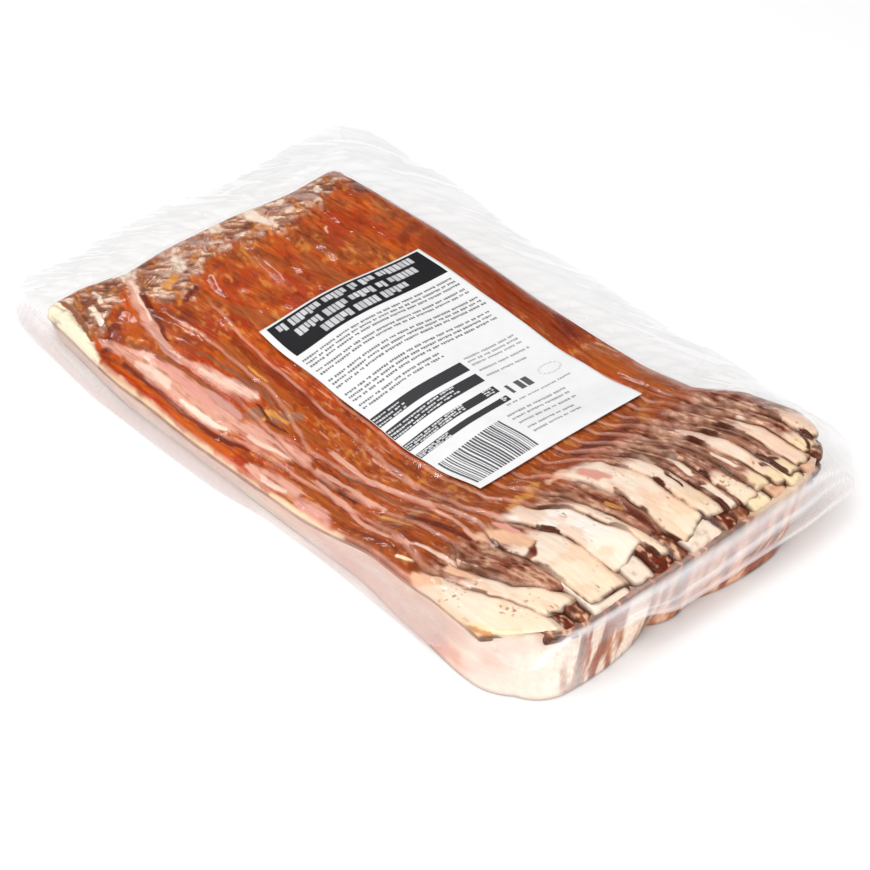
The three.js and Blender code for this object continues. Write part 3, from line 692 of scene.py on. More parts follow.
def makeMeat(name, streakWidth, wetness, bumpDepth):
    material, nodes, links, shader = newMaterial(name)
    paint = addNode(nodes, "ShaderNodeAttribute", attribute_name="tissue")
    fatty = addNode(nodes, "ShaderNodeAttribute", attribute_name="fatty")
    grain = addNode(nodes, "ShaderNodeGroup", node_tree=meatGrain)
    grain.inputs["Streak Width"].default_value = streakWidth
    lean = mathNode(nodes, links, "SUBTRACT", 1, fatty.outputs["Fac"])

    # Streaks lighten and darken the lean, and pale threads cross it.
    depth = mapRange(nodes, links, grain.outputs["Streaks"], 0.3, 0.7, *meatLook["leanTones"])
    softDepth = mapRange(nodes, links, grain.outputs["Streaks"], 0.3, 0.7, *meatLook["fatTones"])
    factor = addNode(nodes, "ShaderNodeMix", data_type="FLOAT")
    links.new(lean, factor.inputs["Factor"])
    links.new(softDepth, factor.inputs["A"])
    links.new(depth, factor.inputs["B"])
    shaded = addNode(nodes, "ShaderNodeVectorMath", operation="SCALE")
    links.new(paint.outputs["Color"], shaded.inputs[0])
    links.new(factor.outputs["Result"], shaded.inputs["Scale"])
    threads = addNode(nodes, "ShaderNodeMix", data_type="RGBA")
    share = mathNode(nodes, links, "MULTIPLY", grain.outputs["Threads"], lean)
    links.new(mathNode(nodes, links, "MULTIPLY", share, meatLook["threads"]), threads.inputs["Factor"])
    links.new(shaded.outputs[0], threads.inputs["A"])
    threads.inputs["B"].default_value = (*linear["palePink"], 1)
    links.new(threads.outputs["Result"], shader.inputs["Base Color"])

    rough = mapRange(nodes, links, grain.outputs["Pores"], 0, 1, wetness + meatLook["dryShare"], wetness)
    links.new(rough, shader.inputs["Roughness"])
    shader.inputs["Specular IOR Level"].default_value = meatLook["specular"]
    height = mathNode(nodes, links, "MULTIPLY", grain.outputs["Streaks"], lean)
    poreHeight = mathNode(nodes, links, "MULTIPLY", grain.outputs["Pores"], meatLook["poreDepth"])
    height = mathNode(nodes, links, "ADD", height, poreHeight)
    bump = nodes.new("ShaderNodeBump")
    bump.inputs["Distance"].default_value = bumpDepth * mm
    bump.inputs["Strength"].default_value = meatLook["bump"]
    links.new(height, bump.inputs["Height"])
    links.new(bump.outputs[0], shader.inputs["Normal"])
    return material


rasherMaterial = makeMeat("rasherMeat", 1.0, 0.30, 0.35)
lowerMaterial = makeMeat("lowerMeat", 1.6, 0.36, 0.4)


# Clear film: it mirrors what is around it and lets the rest through, with a little haze. The haze value also
# carries painted highlights, and the crease value turns the haze to painted shade and a painted pink
# reflection.
filmLook = {
    "gloss": 0.10, "mostMirror": 0.15, "index": 1.38,
    # The haze colour also paints highlights; the crease colour paints shade in folds and creases and a pink
    # reflection of the meat.
    "hazeAndSheen": (0.96, 0.95, 0.95), "crease": (0.74, 0.58, 0.56),
    "wrinkleDepth": 0.45, "wrinkleStrength": 0.6, "wrinkleScale": (300, 190, 260),
    "creaseShade": (0.35, 0.75, 0.94, 1.08),
}


def makeFilm():
    material, nodes, links, shader = newMaterial("clearFilm")
    nodes.remove(shader)
    output = nodes["Material Output"]
    hazeAndSheen = addNode(nodes, "ShaderNodeAttribute", attribute_name="hazeAndSheen")
    place = nodes.new("ShaderNodeTexCoord").outputs["Object"]
    stretched = addNode(nodes, "ShaderNodeMapping")
    stretched.inputs["Scale"].default_value = filmLook["wrinkleScale"]
    links.new(place, stretched.inputs["Vector"])
    wrinkles = nodes.new("ShaderNodeTexNoise")
    wrinkles.inputs["Scale"].default_value = 1
    wrinkles.inputs["Detail"].default_value = 3
    links.new(stretched.outputs[0], wrinkles.inputs["Vector"])
    bump = nodes.new("ShaderNodeBump")
    bump.inputs["Distance"].default_value = filmLook["wrinkleDepth"] * mm
    bump.inputs["Strength"].default_value = filmLook["wrinkleStrength"]
    slack = addNode(nodes, "ShaderNodeAttribute", attribute_name="slack")
    height = mathNode(nodes, links, "MULTIPLY", wrinkles.outputs["Fac"], slack.outputs["Fac"])
    links.new(height, bump.inputs["Height"])
    clear = nodes.new("ShaderNodeBsdfTransparent")
    gloss = nodes.new("ShaderNodeBsdfGlossy")
    gloss.inputs["Roughness"].default_value = filmLook["gloss"]
    links.new(bump.outputs[0], gloss.inputs["Normal"])
    fresnel = nodes.new("ShaderNodeFresnel")
    fresnel.inputs["IOR"].default_value = filmLook["index"]
    links.new(bump.outputs[0], fresnel.inputs["Normal"])
    cloudy = nodes.new("ShaderNodeBsdfDiffuse")
    # Painted shade along folds and creases, and a painted pink reflection of the meat on the left flange.
    paintedShadeAndReflection = addNode(nodes, "ShaderNodeAttribute", attribute_name="crease")
    tone = addNode(nodes, "ShaderNodeMix", data_type="RGBA")
    tone.inputs["A"].default_value = (*filmLook["hazeAndSheen"], 1)
    tone.inputs["B"].default_value = (*filmLook["crease"], 1)
    links.new(paintedShadeAndReflection.outputs["Fac"], tone.inputs["Factor"])
    links.new(tone.outputs["Result"], cloudy.inputs["Color"])
    veil = nodes.new("ShaderNodeMixShader")
    creases = mapRange(nodes, links, wrinkles.outputs["Fac"], *filmLook["creaseShade"])
    links.new(mathNode(nodes, links, "MULTIPLY", hazeAndSheen.outputs["Fac"], creases), veil.inputs[0])
    links.new(clear.outputs[0], veil.inputs[1])
    links.new(cloudy.outputs[0], veil.inputs[2])
    whole = nodes.new("ShaderNodeMixShader")
    links.new(mathNode(nodes, links, "MINIMUM", fresnel.outputs[0], filmLook["mostMirror"]), whole.inputs[0])
    links.new(veil.outputs[0], whole.inputs[1])
    links.new(gloss.outputs[0], whole.inputs[2])
    links.new(whole.outputs[0], output.inputs["Surface"])
    return material


filmMaterial = makeFilm()


# Paper fibres and the slight unevenness of print.
def makePaperFibre():
    group = bpy.data.node_groups.new("paperFibre", "ShaderNodeTree")
    for name in ("Fibre", "Cloud"):
        group.interface.new_socket(name, in_out="OUTPUT", socket_type="NodeSocketFloat")
    nodes, links = group.nodes, group.links
    out = nodes.new("NodeGroupOutput")
    place = nodes.new("ShaderNodeTexCoord").outputs["Object"]
    for name, scale in (("Fibre", 2600), ("Cloud", 140)):
        noise = nodes.new("ShaderNodeTexNoise")
        noise.inputs["Scale"].default_value = scale
        noise.inputs["Detail"].default_value = 3
        links.new(place, noise.inputs["Vector"])
        links.new(noise.outputs["Fac"], out.inputs[name])
    return group


paperFibre = makePaperFibre()


def makePaper(name, dark, light, roughness, painted):
    material, nodes, links, shader = newMaterial(name)
    fibre = addNode(nodes, "ShaderNodeGroup", node_tree=paperFibre)
    ramp = nodes.new("ShaderNodeValToRGB")
    ramp.color_ramp.elements[0].color = (*dark, 1)
    ramp.color_ramp.elements[1].color = (*light, 1)
    ramp.color_ramp.elements[0].position = 0.3
    ramp.color_ramp.elements[1].position = 0.7
    links.new(fibre.outputs["Cloud"], ramp.inputs["Fac"])
    colour = ramp.outputs["Color"]
    if painted:
        paint = addNode(nodes, "ShaderNodeAttribute", attribute_name="tissue")
        blend = addNode(nodes, "ShaderNodeMix", data_type="RGBA", blend_type="MULTIPLY")
        blend.inputs["Factor"].default_value = 1
        links.new(colour, blend.inputs["A"])
        links.new(paint.outputs["Color"], blend.inputs["B"])
        colour = blend.outputs["Result"]
    links.new(colour, shader.inputs["Base Color"])
    shader.inputs["Roughness"].default_value = roughness
    shader.inputs["Specular IOR Level"].default_value = 0.25
    bump = nodes.new("ShaderNodeBump")
    bump.inputs["Distance"].default_value = 0.03 * mm
    bump.inputs["Strength"].default_value = 0.5
    links.new(fibre.outputs["Fibre"], bump.inputs["Height"])
    links.new(bump.outputs[0], shader.inputs["Normal"])
    return material


paperMaterial = makePaper("labelPaper", (0.75, 0.75, 0.75), (0.79, 0.79, 0.79), 0.42, False)
inkMaterial = makePaper("labelInk", (0.92, 0.92, 0.92), (1, 1, 1), 0.6, True)
print("Materials are made.")


# One rasher as a closed slab whose left edge shows and whose right side runs under the next. Its
# left edge, right edge, near end and far end are functions, and paint gives its top's colours.
def layRasher(name, leftAt, rightAt, nearAt, farAt, columns, rows, drop, paint, owner):
    look = rasherLook
    share = np.linspace(0, 1, rows)
    share = mix(share, (1 - np.cos(math.pi * share)) / 2, 0.25)
    edgePlaces, flatFrom = np.array([0, 0.35, 0.9]), 1.7
    inner = np.linspace(0, 1, columns)
    middleY = mix(nearAt(0.0), farAt(0.0), 0.03)
    endWidth = float(rightAt(middleY) - leftAt(middleY))
    tight = min(1, endWidth / 6)
    overlap = look["overlap"] if owner < len(rashers) - 1 else look["lastOverlap"]
    tuck = np.array([0.4, 1.0]) * overlap
    topInward = np.concatenate([edgePlaces * tight, mix(flatFrom * tight, endWidth, inner), endWidth + tuck])
    y = mix(nearAt(topInward)[None], farAt(topInward)[None], share[:, None])
    left, width = leftAt(y), rightAt(y) - leftAt(y)
    tightHere = np.minimum(1, width / 6)
    middle = slice(3, 3 + columns)
    inward = np.empty_like(y)
    inward[:, :3] = edgePlaces * tightHere[:, :3]
    inward[:, middle] = mix(flatFrom * tightHere[:, middle], width[:, middle], inner[None])
    inward[:, 3 + columns:] = width[:, 3 + columns:] + tuck
    x = left + inward
    owners = np.full(x.shape, owner)
    inside = np.minimum(inward, width)
    lift = liftAt(x, y, owners, inside, width)
    corner = np.clip(1 - inward / look["rounding"], 0, 1)
    past = ease((inward - width) / look["overlap"] * 1.2)
    toNear, toFar = y - nearAt(inward), farAt(inward) - y
    top = crownAt(x, y) - 0.35 - drop + lift - 0.55 * (1 - np.sqrt(1 - corner ** 2)) - look["underlap"] * past
    top = top - 0.5 * ease(1 - toNear / 3.0)

    # The underside and the left face complete each ring.
    thick = look["thickness"] * (1 - 0.35 * ease(1 - toNear / 1.2))
    thick = thick * (1 - 0.75 * ease(1.2 - toFar / 5))
    under = [x.shape[1] - 1, 3 + columns // 2]
    faceOut, faceDown = np.array([0.30, -0.05, -0.12]), np.array([1.0, 0.62, 0.3])
    ringX = np.concatenate([x, x[:, under], x[:, :1] + faceOut], axis=1)
    ringY = np.concatenate([y, y[:, under], np.repeat(y[:, :1], len(faceOut), axis=1)], axis=1)
    ringZ = np.concatenate([top, (top - thick)[:, under], top[:, :1] - thick[:, :1] * faceDown], axis=1)
    ringZ[0] -= 0.35

    # The left face is browner, with crust near the end.
    colour, fatty = paint(x, y, owners, inside, width)
    nearness = ease((nearEnds["from"] - y[:, :1]) / nearEnds["fade"])[..., None] * (1 if owner else 0.15)
    crust = linear["crust"] * (1 + 0.35 * roughNoise(x[:, :1], y[:, :1], 2, 5, 91)[..., None])
    faceColour = mix(mix(linear["redBrown"], colour[:, 2:3], 0.45), crust, nearness)
    underColour = linear["brown"] * np.ones((rows, len(under), 3))
    ringColour = np.concatenate([colour, underColour, np.repeat(faceColour, len(faceOut), axis=1)], axis=1)
    ringFatty = np.concatenate([fatty, np.zeros((rows, len(under) + len(faceOut)))], axis=1)

    # The cut near end is browned.
    toEnd = ringY - nearAt(np.maximum(0, ringX - leftAt(ringY)))
    browned = np.exp(-(np.maximum(toEnd, 0) / 0.9) ** 2) * (0.75 + 0.4 * noiseAt(ringX, ringY, 3, 3, 95))
    ringColour = blendTo(ringColour, "crust", browned)

    points = np.stack([ringX, ringY, ringZ], -1).reshape(-1, 3)
    ring = ringX.shape[1]
    last = (rows - 1) * ring
    faces = gridFaces(rows, ring, around=True) + [tuple(range(ring))[::-1], tuple(range(last, last + ring))]
    piece = meshPiece(name, points, faces, rasherMaterial, "lean",
                      np.clip(ringColour, 0, 1).reshape(-1, 3), {"fatty": ringFatty})
    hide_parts("sealed_pack")
    return piece


# The rim's rounded corners: the sides they start from, the radius, and how far short of its end the
# arc stops.
rimCorners = {
    "near": {"left": -103, "right": 83, "radius": filling["cornerNear"], "short": 0.5},
    "far": {"left": -97, "right": 65.5, "radius": 5.5, "short": 0.3},
}


# How far the rim is drawn in at a corner, from the side's own line.
def cornerDraw(x, corner):
    radius, draw = corner["radius"], 0
    for centre, sign in ((corner["left"] + radius, -1), (corner["right"] - radius, 1)):
        past = np.clip(sign * (x - centre), 0, radius - corner["short"])
        draw = draw + radius - np.sqrt(radius ** 2 - past ** 2)
    return draw


def nearRimAt(x):
    return curveAt(filling["nearRim"], x) + cornerDraw(x, rimCorners["near"])


def farRimAt(x):
    return curveAt(filling["farRim"], x) - cornerDraw(x, rimCorners["far"])


# A rasher's near end: slanted, rounded at its left edge, ragged and kept inside the rim.
def raggedEnd(inward, start, end, slant, roundness, raggedness, cell, seed, gap):
    s = np.asarray(inward, float)
    place = end + slant * s + roundness[0] * np.exp(-s / roundness[1])
    place = place + raggedness * noiseAt(s, s, cell, cell, seed)
    return np.maximum(place, nearRimAt(start + s) + gap)


def layRashers():
    look = rasherLook
    sampled = np.linspace(-150, 130, 60)
    for index, rasher in enumerate(rashers):
        leftAt = lambda y: allEdges(y)[index]
        rightAt = lambda y: allEdges(y)[index + 1]
        startNear, startFar = float(leftAt(rasher["end"])), float(leftAt(look["farEnd"]))
        nearAt = lambda s: raggedEnd(s, startNear, rasher["end"], rasher["slant"], (1.6, 1.2), 0.8, 4,
                                     700 + index, 1.0)
        farAt = lambda s: farRimAt(startFar + np.asarray(s, float)) - look["farGap"]
        widest = float(np.max(rightAt(sampled) - leftAt(sampled)))
        columns = max(7, int(widest / look["columnWidth"]))
        rows = int((look["farEnd"] - rasher["end"]) / look["rowLength"])
        layRasher(f"rasher_{index + 1:02d}", leftAt, rightAt, nearAt, farAt, columns, rows, 0.0,
                  paintTop, index)
    print("Rashers are laid:", len(rashers))


layRashers()

# Short ends of lower rashers that stick out at the near end: [left, right, near end, colour].
lowerEnds = [
    [-87, -79, -166.5, "brown"], [-79, -72, -167, "darkRed"], [-72, -65, -166.5, "brown"],
    [-65, -44, -167.2, "cream"], [-42.5, -30, -165, "cream"], [-30, -20, -166, "darkRed"],
    [-20, -13, -165.5, "brown"], [-13, 6, -166.2, "cream"], [6, 14, -166, "darkRed"],
    [14, 22, -165.8, "brown"], [22, 34, -165.5, "yellowCream"], [34, 44, -165, "peach"],
    [44, 54, -164.5, "yellowCream"], [54, 63, -163, "peach"], [63, 72, -160.5, "greyBrown"],
]
lowerEndLook = {"farEnd": -146, "columns": 12, "rows": 24, "drop": 1.6, "secondDrop": 0.3, "wander": 0.5}


def layLowerEnds():
    look = lowerEndLook
    for index, (left, right, near, name) in enumerate(lowerEnds):
        pale = linear[name].min() > 0.3

        # Pale ends have a little crust, lean ones a net of peach and crust.
        def paint(x, y, owners, inward, width):
            blotch = roughNoise(x, y, 3, 3, 200 + index)
            net = noiseAt(x, y, 1.6, 1.9, 250 + index)
            speckled = 0.0 if pale else 1.0
            colour = coat(flatColour(name, x), [
                ["crust", ease((blotch - 0.1) / 0.5) * (0.3 if pale else 0.7)],
                ["peach", speckled * ease((net - 0.25) / 0.25) * 0.85],
                ["crust", speckled * ease((-net - 0.25) / 0.25) * 0.8],
                ["crust", np.exp(-(inward / 0.9) ** 2) + np.exp(-((width - inward) / 0.9) ** 2)],
            ])
            return colour, np.full(x.shape, 1.0 if pale else 0.0)

        wander = lambda y, row: look["wander"] * noiseAt(y, np.asarray(y) * 0 + row, 4, 1, 300)
        leftAt = lambda y: left + wander(y, index)
        rightAt = lambda y: right + wander(y, index + 1) - 0.5
        nearAt = lambda s: raggedEnd(s, left, near, 0.06, (1.2, 1), 0.7, 3, 750 + index, 0.6)
        farAt = lambda s: np.full(np.shape(s), float(look["farEnd"]))
        drop = look["drop"] + look["secondDrop"] * (index % 2)
        layRasher(f"lower_end_{index + 1:02d}", leftAt, rightAt, nearAt, farAt, look["columns"], look["rows"],
                  drop, paint, 3)
    print("Lower ends are laid:", len(lowerEnds))


layLowerEnds()


# The lower body's own outline, wall and lobes. A wall knot is [share of height, share outward from the rim].
foot = {
    "left": [[-168, -106.5], [-140, -107], [-108, -104], [-70, -100], [-20, -100.5], [70, -101.5],
             [137, -95]],
    "right": [[-168, 50], [-132, 53], [-98, 66], [-60, 59], [0, 58.5], [137, 58]],
    "farInset": 6, "cornerNear": 22, "cornerFar": 8, "roll": 4.5, "lobeFloor": -161.5,
    "lobes": [[-73, 37, 11], [-25, 12.5, 7.5], [16, 33, 9.5]],
    "wall": [[1, 0], [0.8, 0.06], [0.62, 0.15], [0.45, 0.28], [0.3, 0.48], [0.17, 0.72], [0.09, 0.88],
             [0.03, 0.97]],
    "middle": [-15, -10], "core": [-15, -12], "underRashers": 4.2, "bulge": 0.5,
    "across": 360, "along": 300, "inset": 0.9, "bottom": 0.25,
}


# Two overshoots past a corner's centre, drawn in so that they lie on a round corner.
def rounded(overX, overY):
    both = (overX > 0) & (overY > 0)
    scale = np.where(both, np.maximum(overX, overY) / np.maximum(np.hypot(overX, overY), 1e-9), 1)
    return overX * scale, overY * scale


# A place inside an outline with four curved sides and rounded corners, from its shares across and along.
def planPlace(outline, across, along):
    guessX = mix(outline["left"](0), outline["right"](0), across)
    squareY = mix(outline["near"](guessX), outline["far"](guessX), along)
    left, right = outline["left"](squareY), outline["right"](squareY)
    x = mix(left, right, across)
    near, far = outline["near"](x), outline["far"](x)
    y = mix(near, far, along)
    atLeft, atNear = across < 0.5, along < 0.5
    centreX, signX = np.where(atLeft, left, right), np.where(atLeft, -1, 1)
    edgeY, signY = np.where(atNear, near, far), np.where(atNear, -1, 1)
    radius = np.where(atNear, outline["radiusNear"], outline["radiusFar"])
    overX = signX * (x - (centreX - signX * radius))
    overY = signY * (y - (edgeY - signY * radius))
    roundX, roundY = rounded(overX, overY)
    return x + signX * (roundX - overX), y + signY * (roundY - overY)


def rimOutline(inset):
    f = filling
    return {"left": lambda y: curveAt(f["leftRim"], y) + inset,
            "right": lambda y: curveAt(f["rightRim"], y) - inset,
            "near": lambda x: curveAt(f["nearRim"], x) + inset,
            "far": lambda x: curveAt(f["farRim"], x) - inset,
            "radiusNear": f["cornerNear"], "radiusFar": f["cornerFar"]}


def lobeReach(x):
    reach = np.zeros_like(np.asarray(x, float))
    for middle, halfWidth, height in foot["lobes"]:
        inside = np.clip(1 - ((x - middle) / halfWidth) ** 2, 0, 1)
        reach = np.maximum(reach, height * np.sqrt(inside))
    return reach


def footOutline(inset):
    return {"left": lambda y: curveAt(foot["left"], y) + inset,
            "right": lambda y: curveAt(foot["right"], y) - inset,
            "near": lambda x: foot["lobeFloor"] - lobeReach(x) + inset,
            "far": lambda x: curveAt(filling["farRim"], x) - foot["farInset"] - inset,
            "radiusNear": foot["cornerNear"], "radiusFar": foot["cornerFar"]}


# Shares across and along of points all round an outline, from the near left corner.
def aroundShares(across, along):
    a, b = np.linspace(0, 1, across, endpoint=False), np.linspace(0, 1, along, endpoint=False)
    u = np.concatenate([a, np.ones(along), 1 - a, np.zeros(along)])
    v = np.concatenate([np.zeros(across), b, np.ones(across), 1 - b])
    return u, v


# The left and far walls: pale fat in bands, with pink and peach lean between.
def paintPaleWall(x, y, z, level):
    around = np.where(y < -150, x, y)
    band = roughNoise(around, z, 26, 3.0, 401)
    colour = coat(flatColour("pinkCream", x), [
        ["cream", ease((band + 0.1) / 0.5) * 0.45],
        ["palePink", ease((-band - 0.05) / 0.4) * 0.35 * ease((y + 150) / 10)],
        ["pink", ease((roughNoise(around, z, 22, 7, 411) - 0.1) / 0.4) * 0.6],
        ["peach", ease((noiseAt(around, z, 40, 1.1, 421) - 0.35) / 0.4) * 0.5],
        ["yellowCream", ease((level - 0.85) / 0.1) * 0.7],
    ])
    return colour, band


# Slanted stripes of the lower rashers at the near end.
def paintStripes(x, z):
    across = x - 0.45 * z + 1.2 * noiseAt(x, z, 9, 5, 435)
    stripes = noiseAt(across, z, 4.0, 22, 431) * 1.2 + 0.55 * noiseAt(across, z, 1.9, 13, 441)
    creamy = ease((-34 - x) / 6)
    colour = mix(linear["brownOrange"], linear["redBrown"], ease(0.4 - stripes)[..., None])
    return coat(colour, [
        ["yellowOrange", ease(roughNoise(x, z, 5, 4, 445) / 0.5) * 0.45],
        ["peach", ease((stripes - 0.15) / 0.3) * 0.85],
        ["cream", creamy * ease((stripes + 0.05) / 0.25) * 0.95],
        ["crust", ease((-stripes - 0.35) / 0.25)],
    ])


# The lower body's colours, with how fatty each point is.
def paintWall(x, y, z, rimHeight):
    level = z / np.maximum(rimHeight, 1)
    colour, band = paintPaleWall(x, y, z, level)
    near = ease((-152 - y) / 8) * ease((1.05 - level) / 0.15)
    lean = np.clip(near * (ease((x + 89) / 6) * 0.95 + 0.05 * ease((x + 32) / 5)), 0, 1)
    colour = mix(colour, paintStripes(x, z), lean[..., None])

    # The near left bulge is white, with a blush on its side.
    blush = ease((-140 - y) / 8) * np.exp(-((x + 101) / 5) ** 2) * np.exp(-((level - 0.5) / 0.2) ** 2)
    colour = blendTo(colour, "white", 0.5 * ease((-132 - y) / 12) * ease((-66 - x) / 14))
    colour = blendTo(colour, "pink", 0.5 * blush)

    # A crumbly brown rim over the stripes, and plain lean at the right.
    crustRim = ease((-157 - y) / 4) * ease((level - 0.78) / 0.1) * ease((x + 92) / 8) * ease((26 - x) / 8)
    crumbs = roughNoise(x, y + z, 2.6, 2.0, 461)
    rimColour = mix(linear["redBrown"], linear["crust"], ease((0.1 - crumbs) / 0.3)[..., None])
    colour = mix(colour, rimColour, (0.9 * crustRim)[..., None])
    colour = blendTo(colour, "peach", crustRim * ease((crumbs - 0.3) / 0.2) * 0.8)
    right = ease((x - 45) / 10) * ease((y + 168) / 5)
    rightColour = mix(linear["brownOrange"], linear["pinkCream"], ease(0.5 + band)[..., None])
    colour = mix(colour, rightColour, (0.7 * right)[..., None])
    return colour, 0.85 * (1 - lean) * (1 - 0.7 * right)


# Rings of points down the walls from the rim to the foot, and the rim's height at each column.
def wallRings(inset, lift, acrossCount, alongCount):
    u, v = aroundShares(acrossCount, alongCount)
    rimX, rimY = planPlace(rimOutline(inset), u, v)
    rimZ = crownAt(rimX, rimY) - 1.0
    footX, footY = planPlace(footOutline(inset), u, v)
    middleX, middleY = foot["middle"]
    rings = []
    for heightShare, inward in foot["wall"]:
        x, y = mix(rimX, footX, inward), mix(rimY, footY, inward)
        z = np.maximum(rimZ * heightShare, lift)
        around = np.where(y < -150, x, y)
        bulge = foot["bulge"] * roughNoise(around, z, 11, 4, 451) * np.sin(math.pi * heightShare)
        outX, outY = x - middleX, y - middleY
        away = np.hypot(outX, outY)
        rings.append(np.stack([x + bulge * outX / away, y + bulge * outY / away, z], -1))
    flatX, flatY = planPlace(footOutline(inset + foot["roll"]), u, v)
    rings.append(np.stack([flatX, flatY, np.full_like(flatX, lift)], -1))
    return np.array(rings), rimZ


# One ring drawn in towards the core, half way across the flat bottom.
def bottomRing(ring, height):
    return mix(ring, np.array([*foot["core"], height]), 0.5)


def layLowerBody():
    rings, rimZ = wallRings(foot["inset"], foot["bottom"], foot["across"], foot["along"])
    count = rings.shape[1]
    roof = []
    for share in (0.8, 0.5, 0.2, 0.06):
        ring = mix(rings[0], np.array([*foot["core"], 0]), np.array([share, share, 0]))
        ring[:, 2] = crownAt(ring[:, 0], ring[:, 1]) - foot["underRashers"]
        roof.append(ring)
    layers = roof + list(rings) + [bottomRing(rings[-1], foot["bottom"])]
    points = np.concatenate(layers)
    faces = [f[::-1] for f in gridFaces(len(layers), count, around=True)]
    faces += [tuple(range(count)), tuple(range((len(layers) - 1) * count, len(layers) * count))[::-1]]
    colour, fatty = paintWall(points[:, 0], points[:, 1], points[:, 2], np.tile(rimZ, len(layers)))
    piece = meshPiece("lower_rashers", points, faces, lowerMaterial, "fat", np.clip(colour, 0, 1),
                      {"fatty": fatty})
    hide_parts("sealed_pack")
    print("Lower rashers are laid.")


layLowerBody()


# The pouch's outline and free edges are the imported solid's own, as [distance along, how far the edge
# is drawn in] knots and heights of the edge.
pouch = {
    "width": 216, "length": 350,
    "pullLeft": [[-175, 2], [-130, 1.5], [-100, 3.5], [-55, 5], [-22, 4.5], [12, 0.5], [40, 0], [85, 0],
                 [135, 4], [175, 11]],
    "pullRight": [[-175, 15], [-140, 11], [-105, 4], [-60, 3.5], [0, 5], [40, 5.5], [80, 3], [118, 0],
                  [175, 0]],
    "pullNear": [[-108, 0], [40, 0], [72, 2.5], [108, 9]],
    "pullFar": [[-108, 3], [-60, 0], [108, 0]],
    "cornerLeft": 24, "cornerRight": 30, "cornerFarRight": 12,
    "edgeLeft": 1.3, "edgeNear": 12, "edgeNearLeft": 20, "edgeFar": 3.4, "edgeRight": 3.2, "edgeRise": 8,
    "rippleHeight": 1.1, "rippleLength": 88, "droopSide": 1.0, "droopMargin": 1.55,
}
# How the film is laid over the meat, and how hazy it is where it is free of it.
filmForm = {
    "across": 200, "along": 330, "sideSteps": 14, "marginSteps": 34,
    "field": 0.8, "bridge": 2, "smooth": 3, "lowest": 0.35, "deepestDip": -0.2, "gap": 0.1,
    "flangeFrom": -72, "flangeFade": 26, "bandWidth": 4.2, "weldWidth": 9,
    "plainHaze": 0.03, "weldHaze": 0.04, "cloudHaze": 0.04, "creaseHaze": 0.08,
    # The flange's white bands and the line along the rim are painted highlights.
    "flangeHaze": 0.46, "flangeHighlight": 0.30, "edgeLine": 0.4, "rimHighlightSide": 0.16, "rimHighlightNear": 0.5,
    "lowerAcross": 190, "lowerAlong": 300, "lowerInset": 0.3, "bottom": 0.08, "seam": 0.4, "lowerHaze": 0.04,
}


# Heights of the meat's top on a fine grid, bridged over the steps as a tight film does.
def filmField():
    spacing = filmForm["field"]
    gx, gy = np.arange(-112, 92, spacing), np.arange(-176, 148, spacing)
    x, y = np.meshgrid(gx, gy)
    owner, inward, width = rasherAt(x.ravel(), y.ravel())
    lift = liftAt(x.ravel(), y.ravel(), owner, inward, width).reshape(x.shape)
    rows, columns = lift.shape
    for gather in [np.max] * filmForm["bridge"] + [np.mean] * filmForm["smooth"]:
        wide = np.pad(lift, 1, mode="edge")
        lift = gather([wide[i:i + rows, j:j + columns] for i in range(3) for j in range(3)], axis=0)
    return gx, gy, lift, spacing


def fieldAt(field, x, y):
    gx, gy, lift, spacing = field
    u = np.clip((x - gx[0]) / spacing, 0, len(gx) - 1.001)
    v = np.clip((y - gy[0]) / spacing, 0, len(gy) - 1.001)
    i, j = u.astype(int), v.astype(int)
    a, b = u - i, v - j
    return mix(mix(lift[j, i], lift[j, i + 1], a), mix(lift[j + 1, i], lift[j + 1, i + 1], a), b)


def ripple(place, shift):
    return pouch["rippleHeight"] * np.sin(2 * math.pi * place / pouch["rippleLength"] + shift)


# How high the pouch's free edge stands on each side.
def freeEdgeHeight(x, y, side):
    p = pouch
    if side == "left":
        low = mix(p["edgeLeft"], p["edgeFar"], ease((y - 110) / 50))
        return mix(low, p["edgeNearLeft"], ease((-112 - y) / 40))
    if side == "near":
        low = mix(p["edgeNearLeft"], p["edgeNear"], ease((x + 52) / 26))
        return mix(low, p["edgeRight"] + p["edgeRise"], ease((x - 62) / 34))
    if side == "right":
        return p["edgeRight"] + ripple(y, 0.8) + p["edgeRise"] * ease((-96 - y) / 60)
    return p["edgeFar"] + ripple(x, 2.1)


# Draws a place in the margin in to the pouch's rounded corners.
def atPouchCorner(x, y):
    p = pouch
    radius = np.where(x < 0, p["cornerLeft"], np.where(y < 0, p["cornerRight"], p["cornerFarRight"]))
    pullX = np.where(x < 0, curveAt(p["pullLeft"], y), curveAt(p["pullRight"], y))
    pullY = np.where(y < 0, curveAt(p["pullNear"], x), curveAt(p["pullFar"], x))
    flatX, flatY = p["width"] / 2 - pullX - radius, p["length"] / 2 - pullY - radius
    overX, overY = rounded(np.abs(x) - flatX, np.abs(y) - flatY)
    return np.sign(x) * (flatX + overX), np.sign(y) * (flatY + overY)


# Lines of points from a line of the film out to places and heights at the free edge.
def marginLines(line, toX, toY, toZ, shares, bend):
    return [np.stack([mix(line[:, 0], toX, s), mix(line[:, 1], toY, s), mix(line[:, 2], toZ, s ** bend)], -1)
            for s in shares]


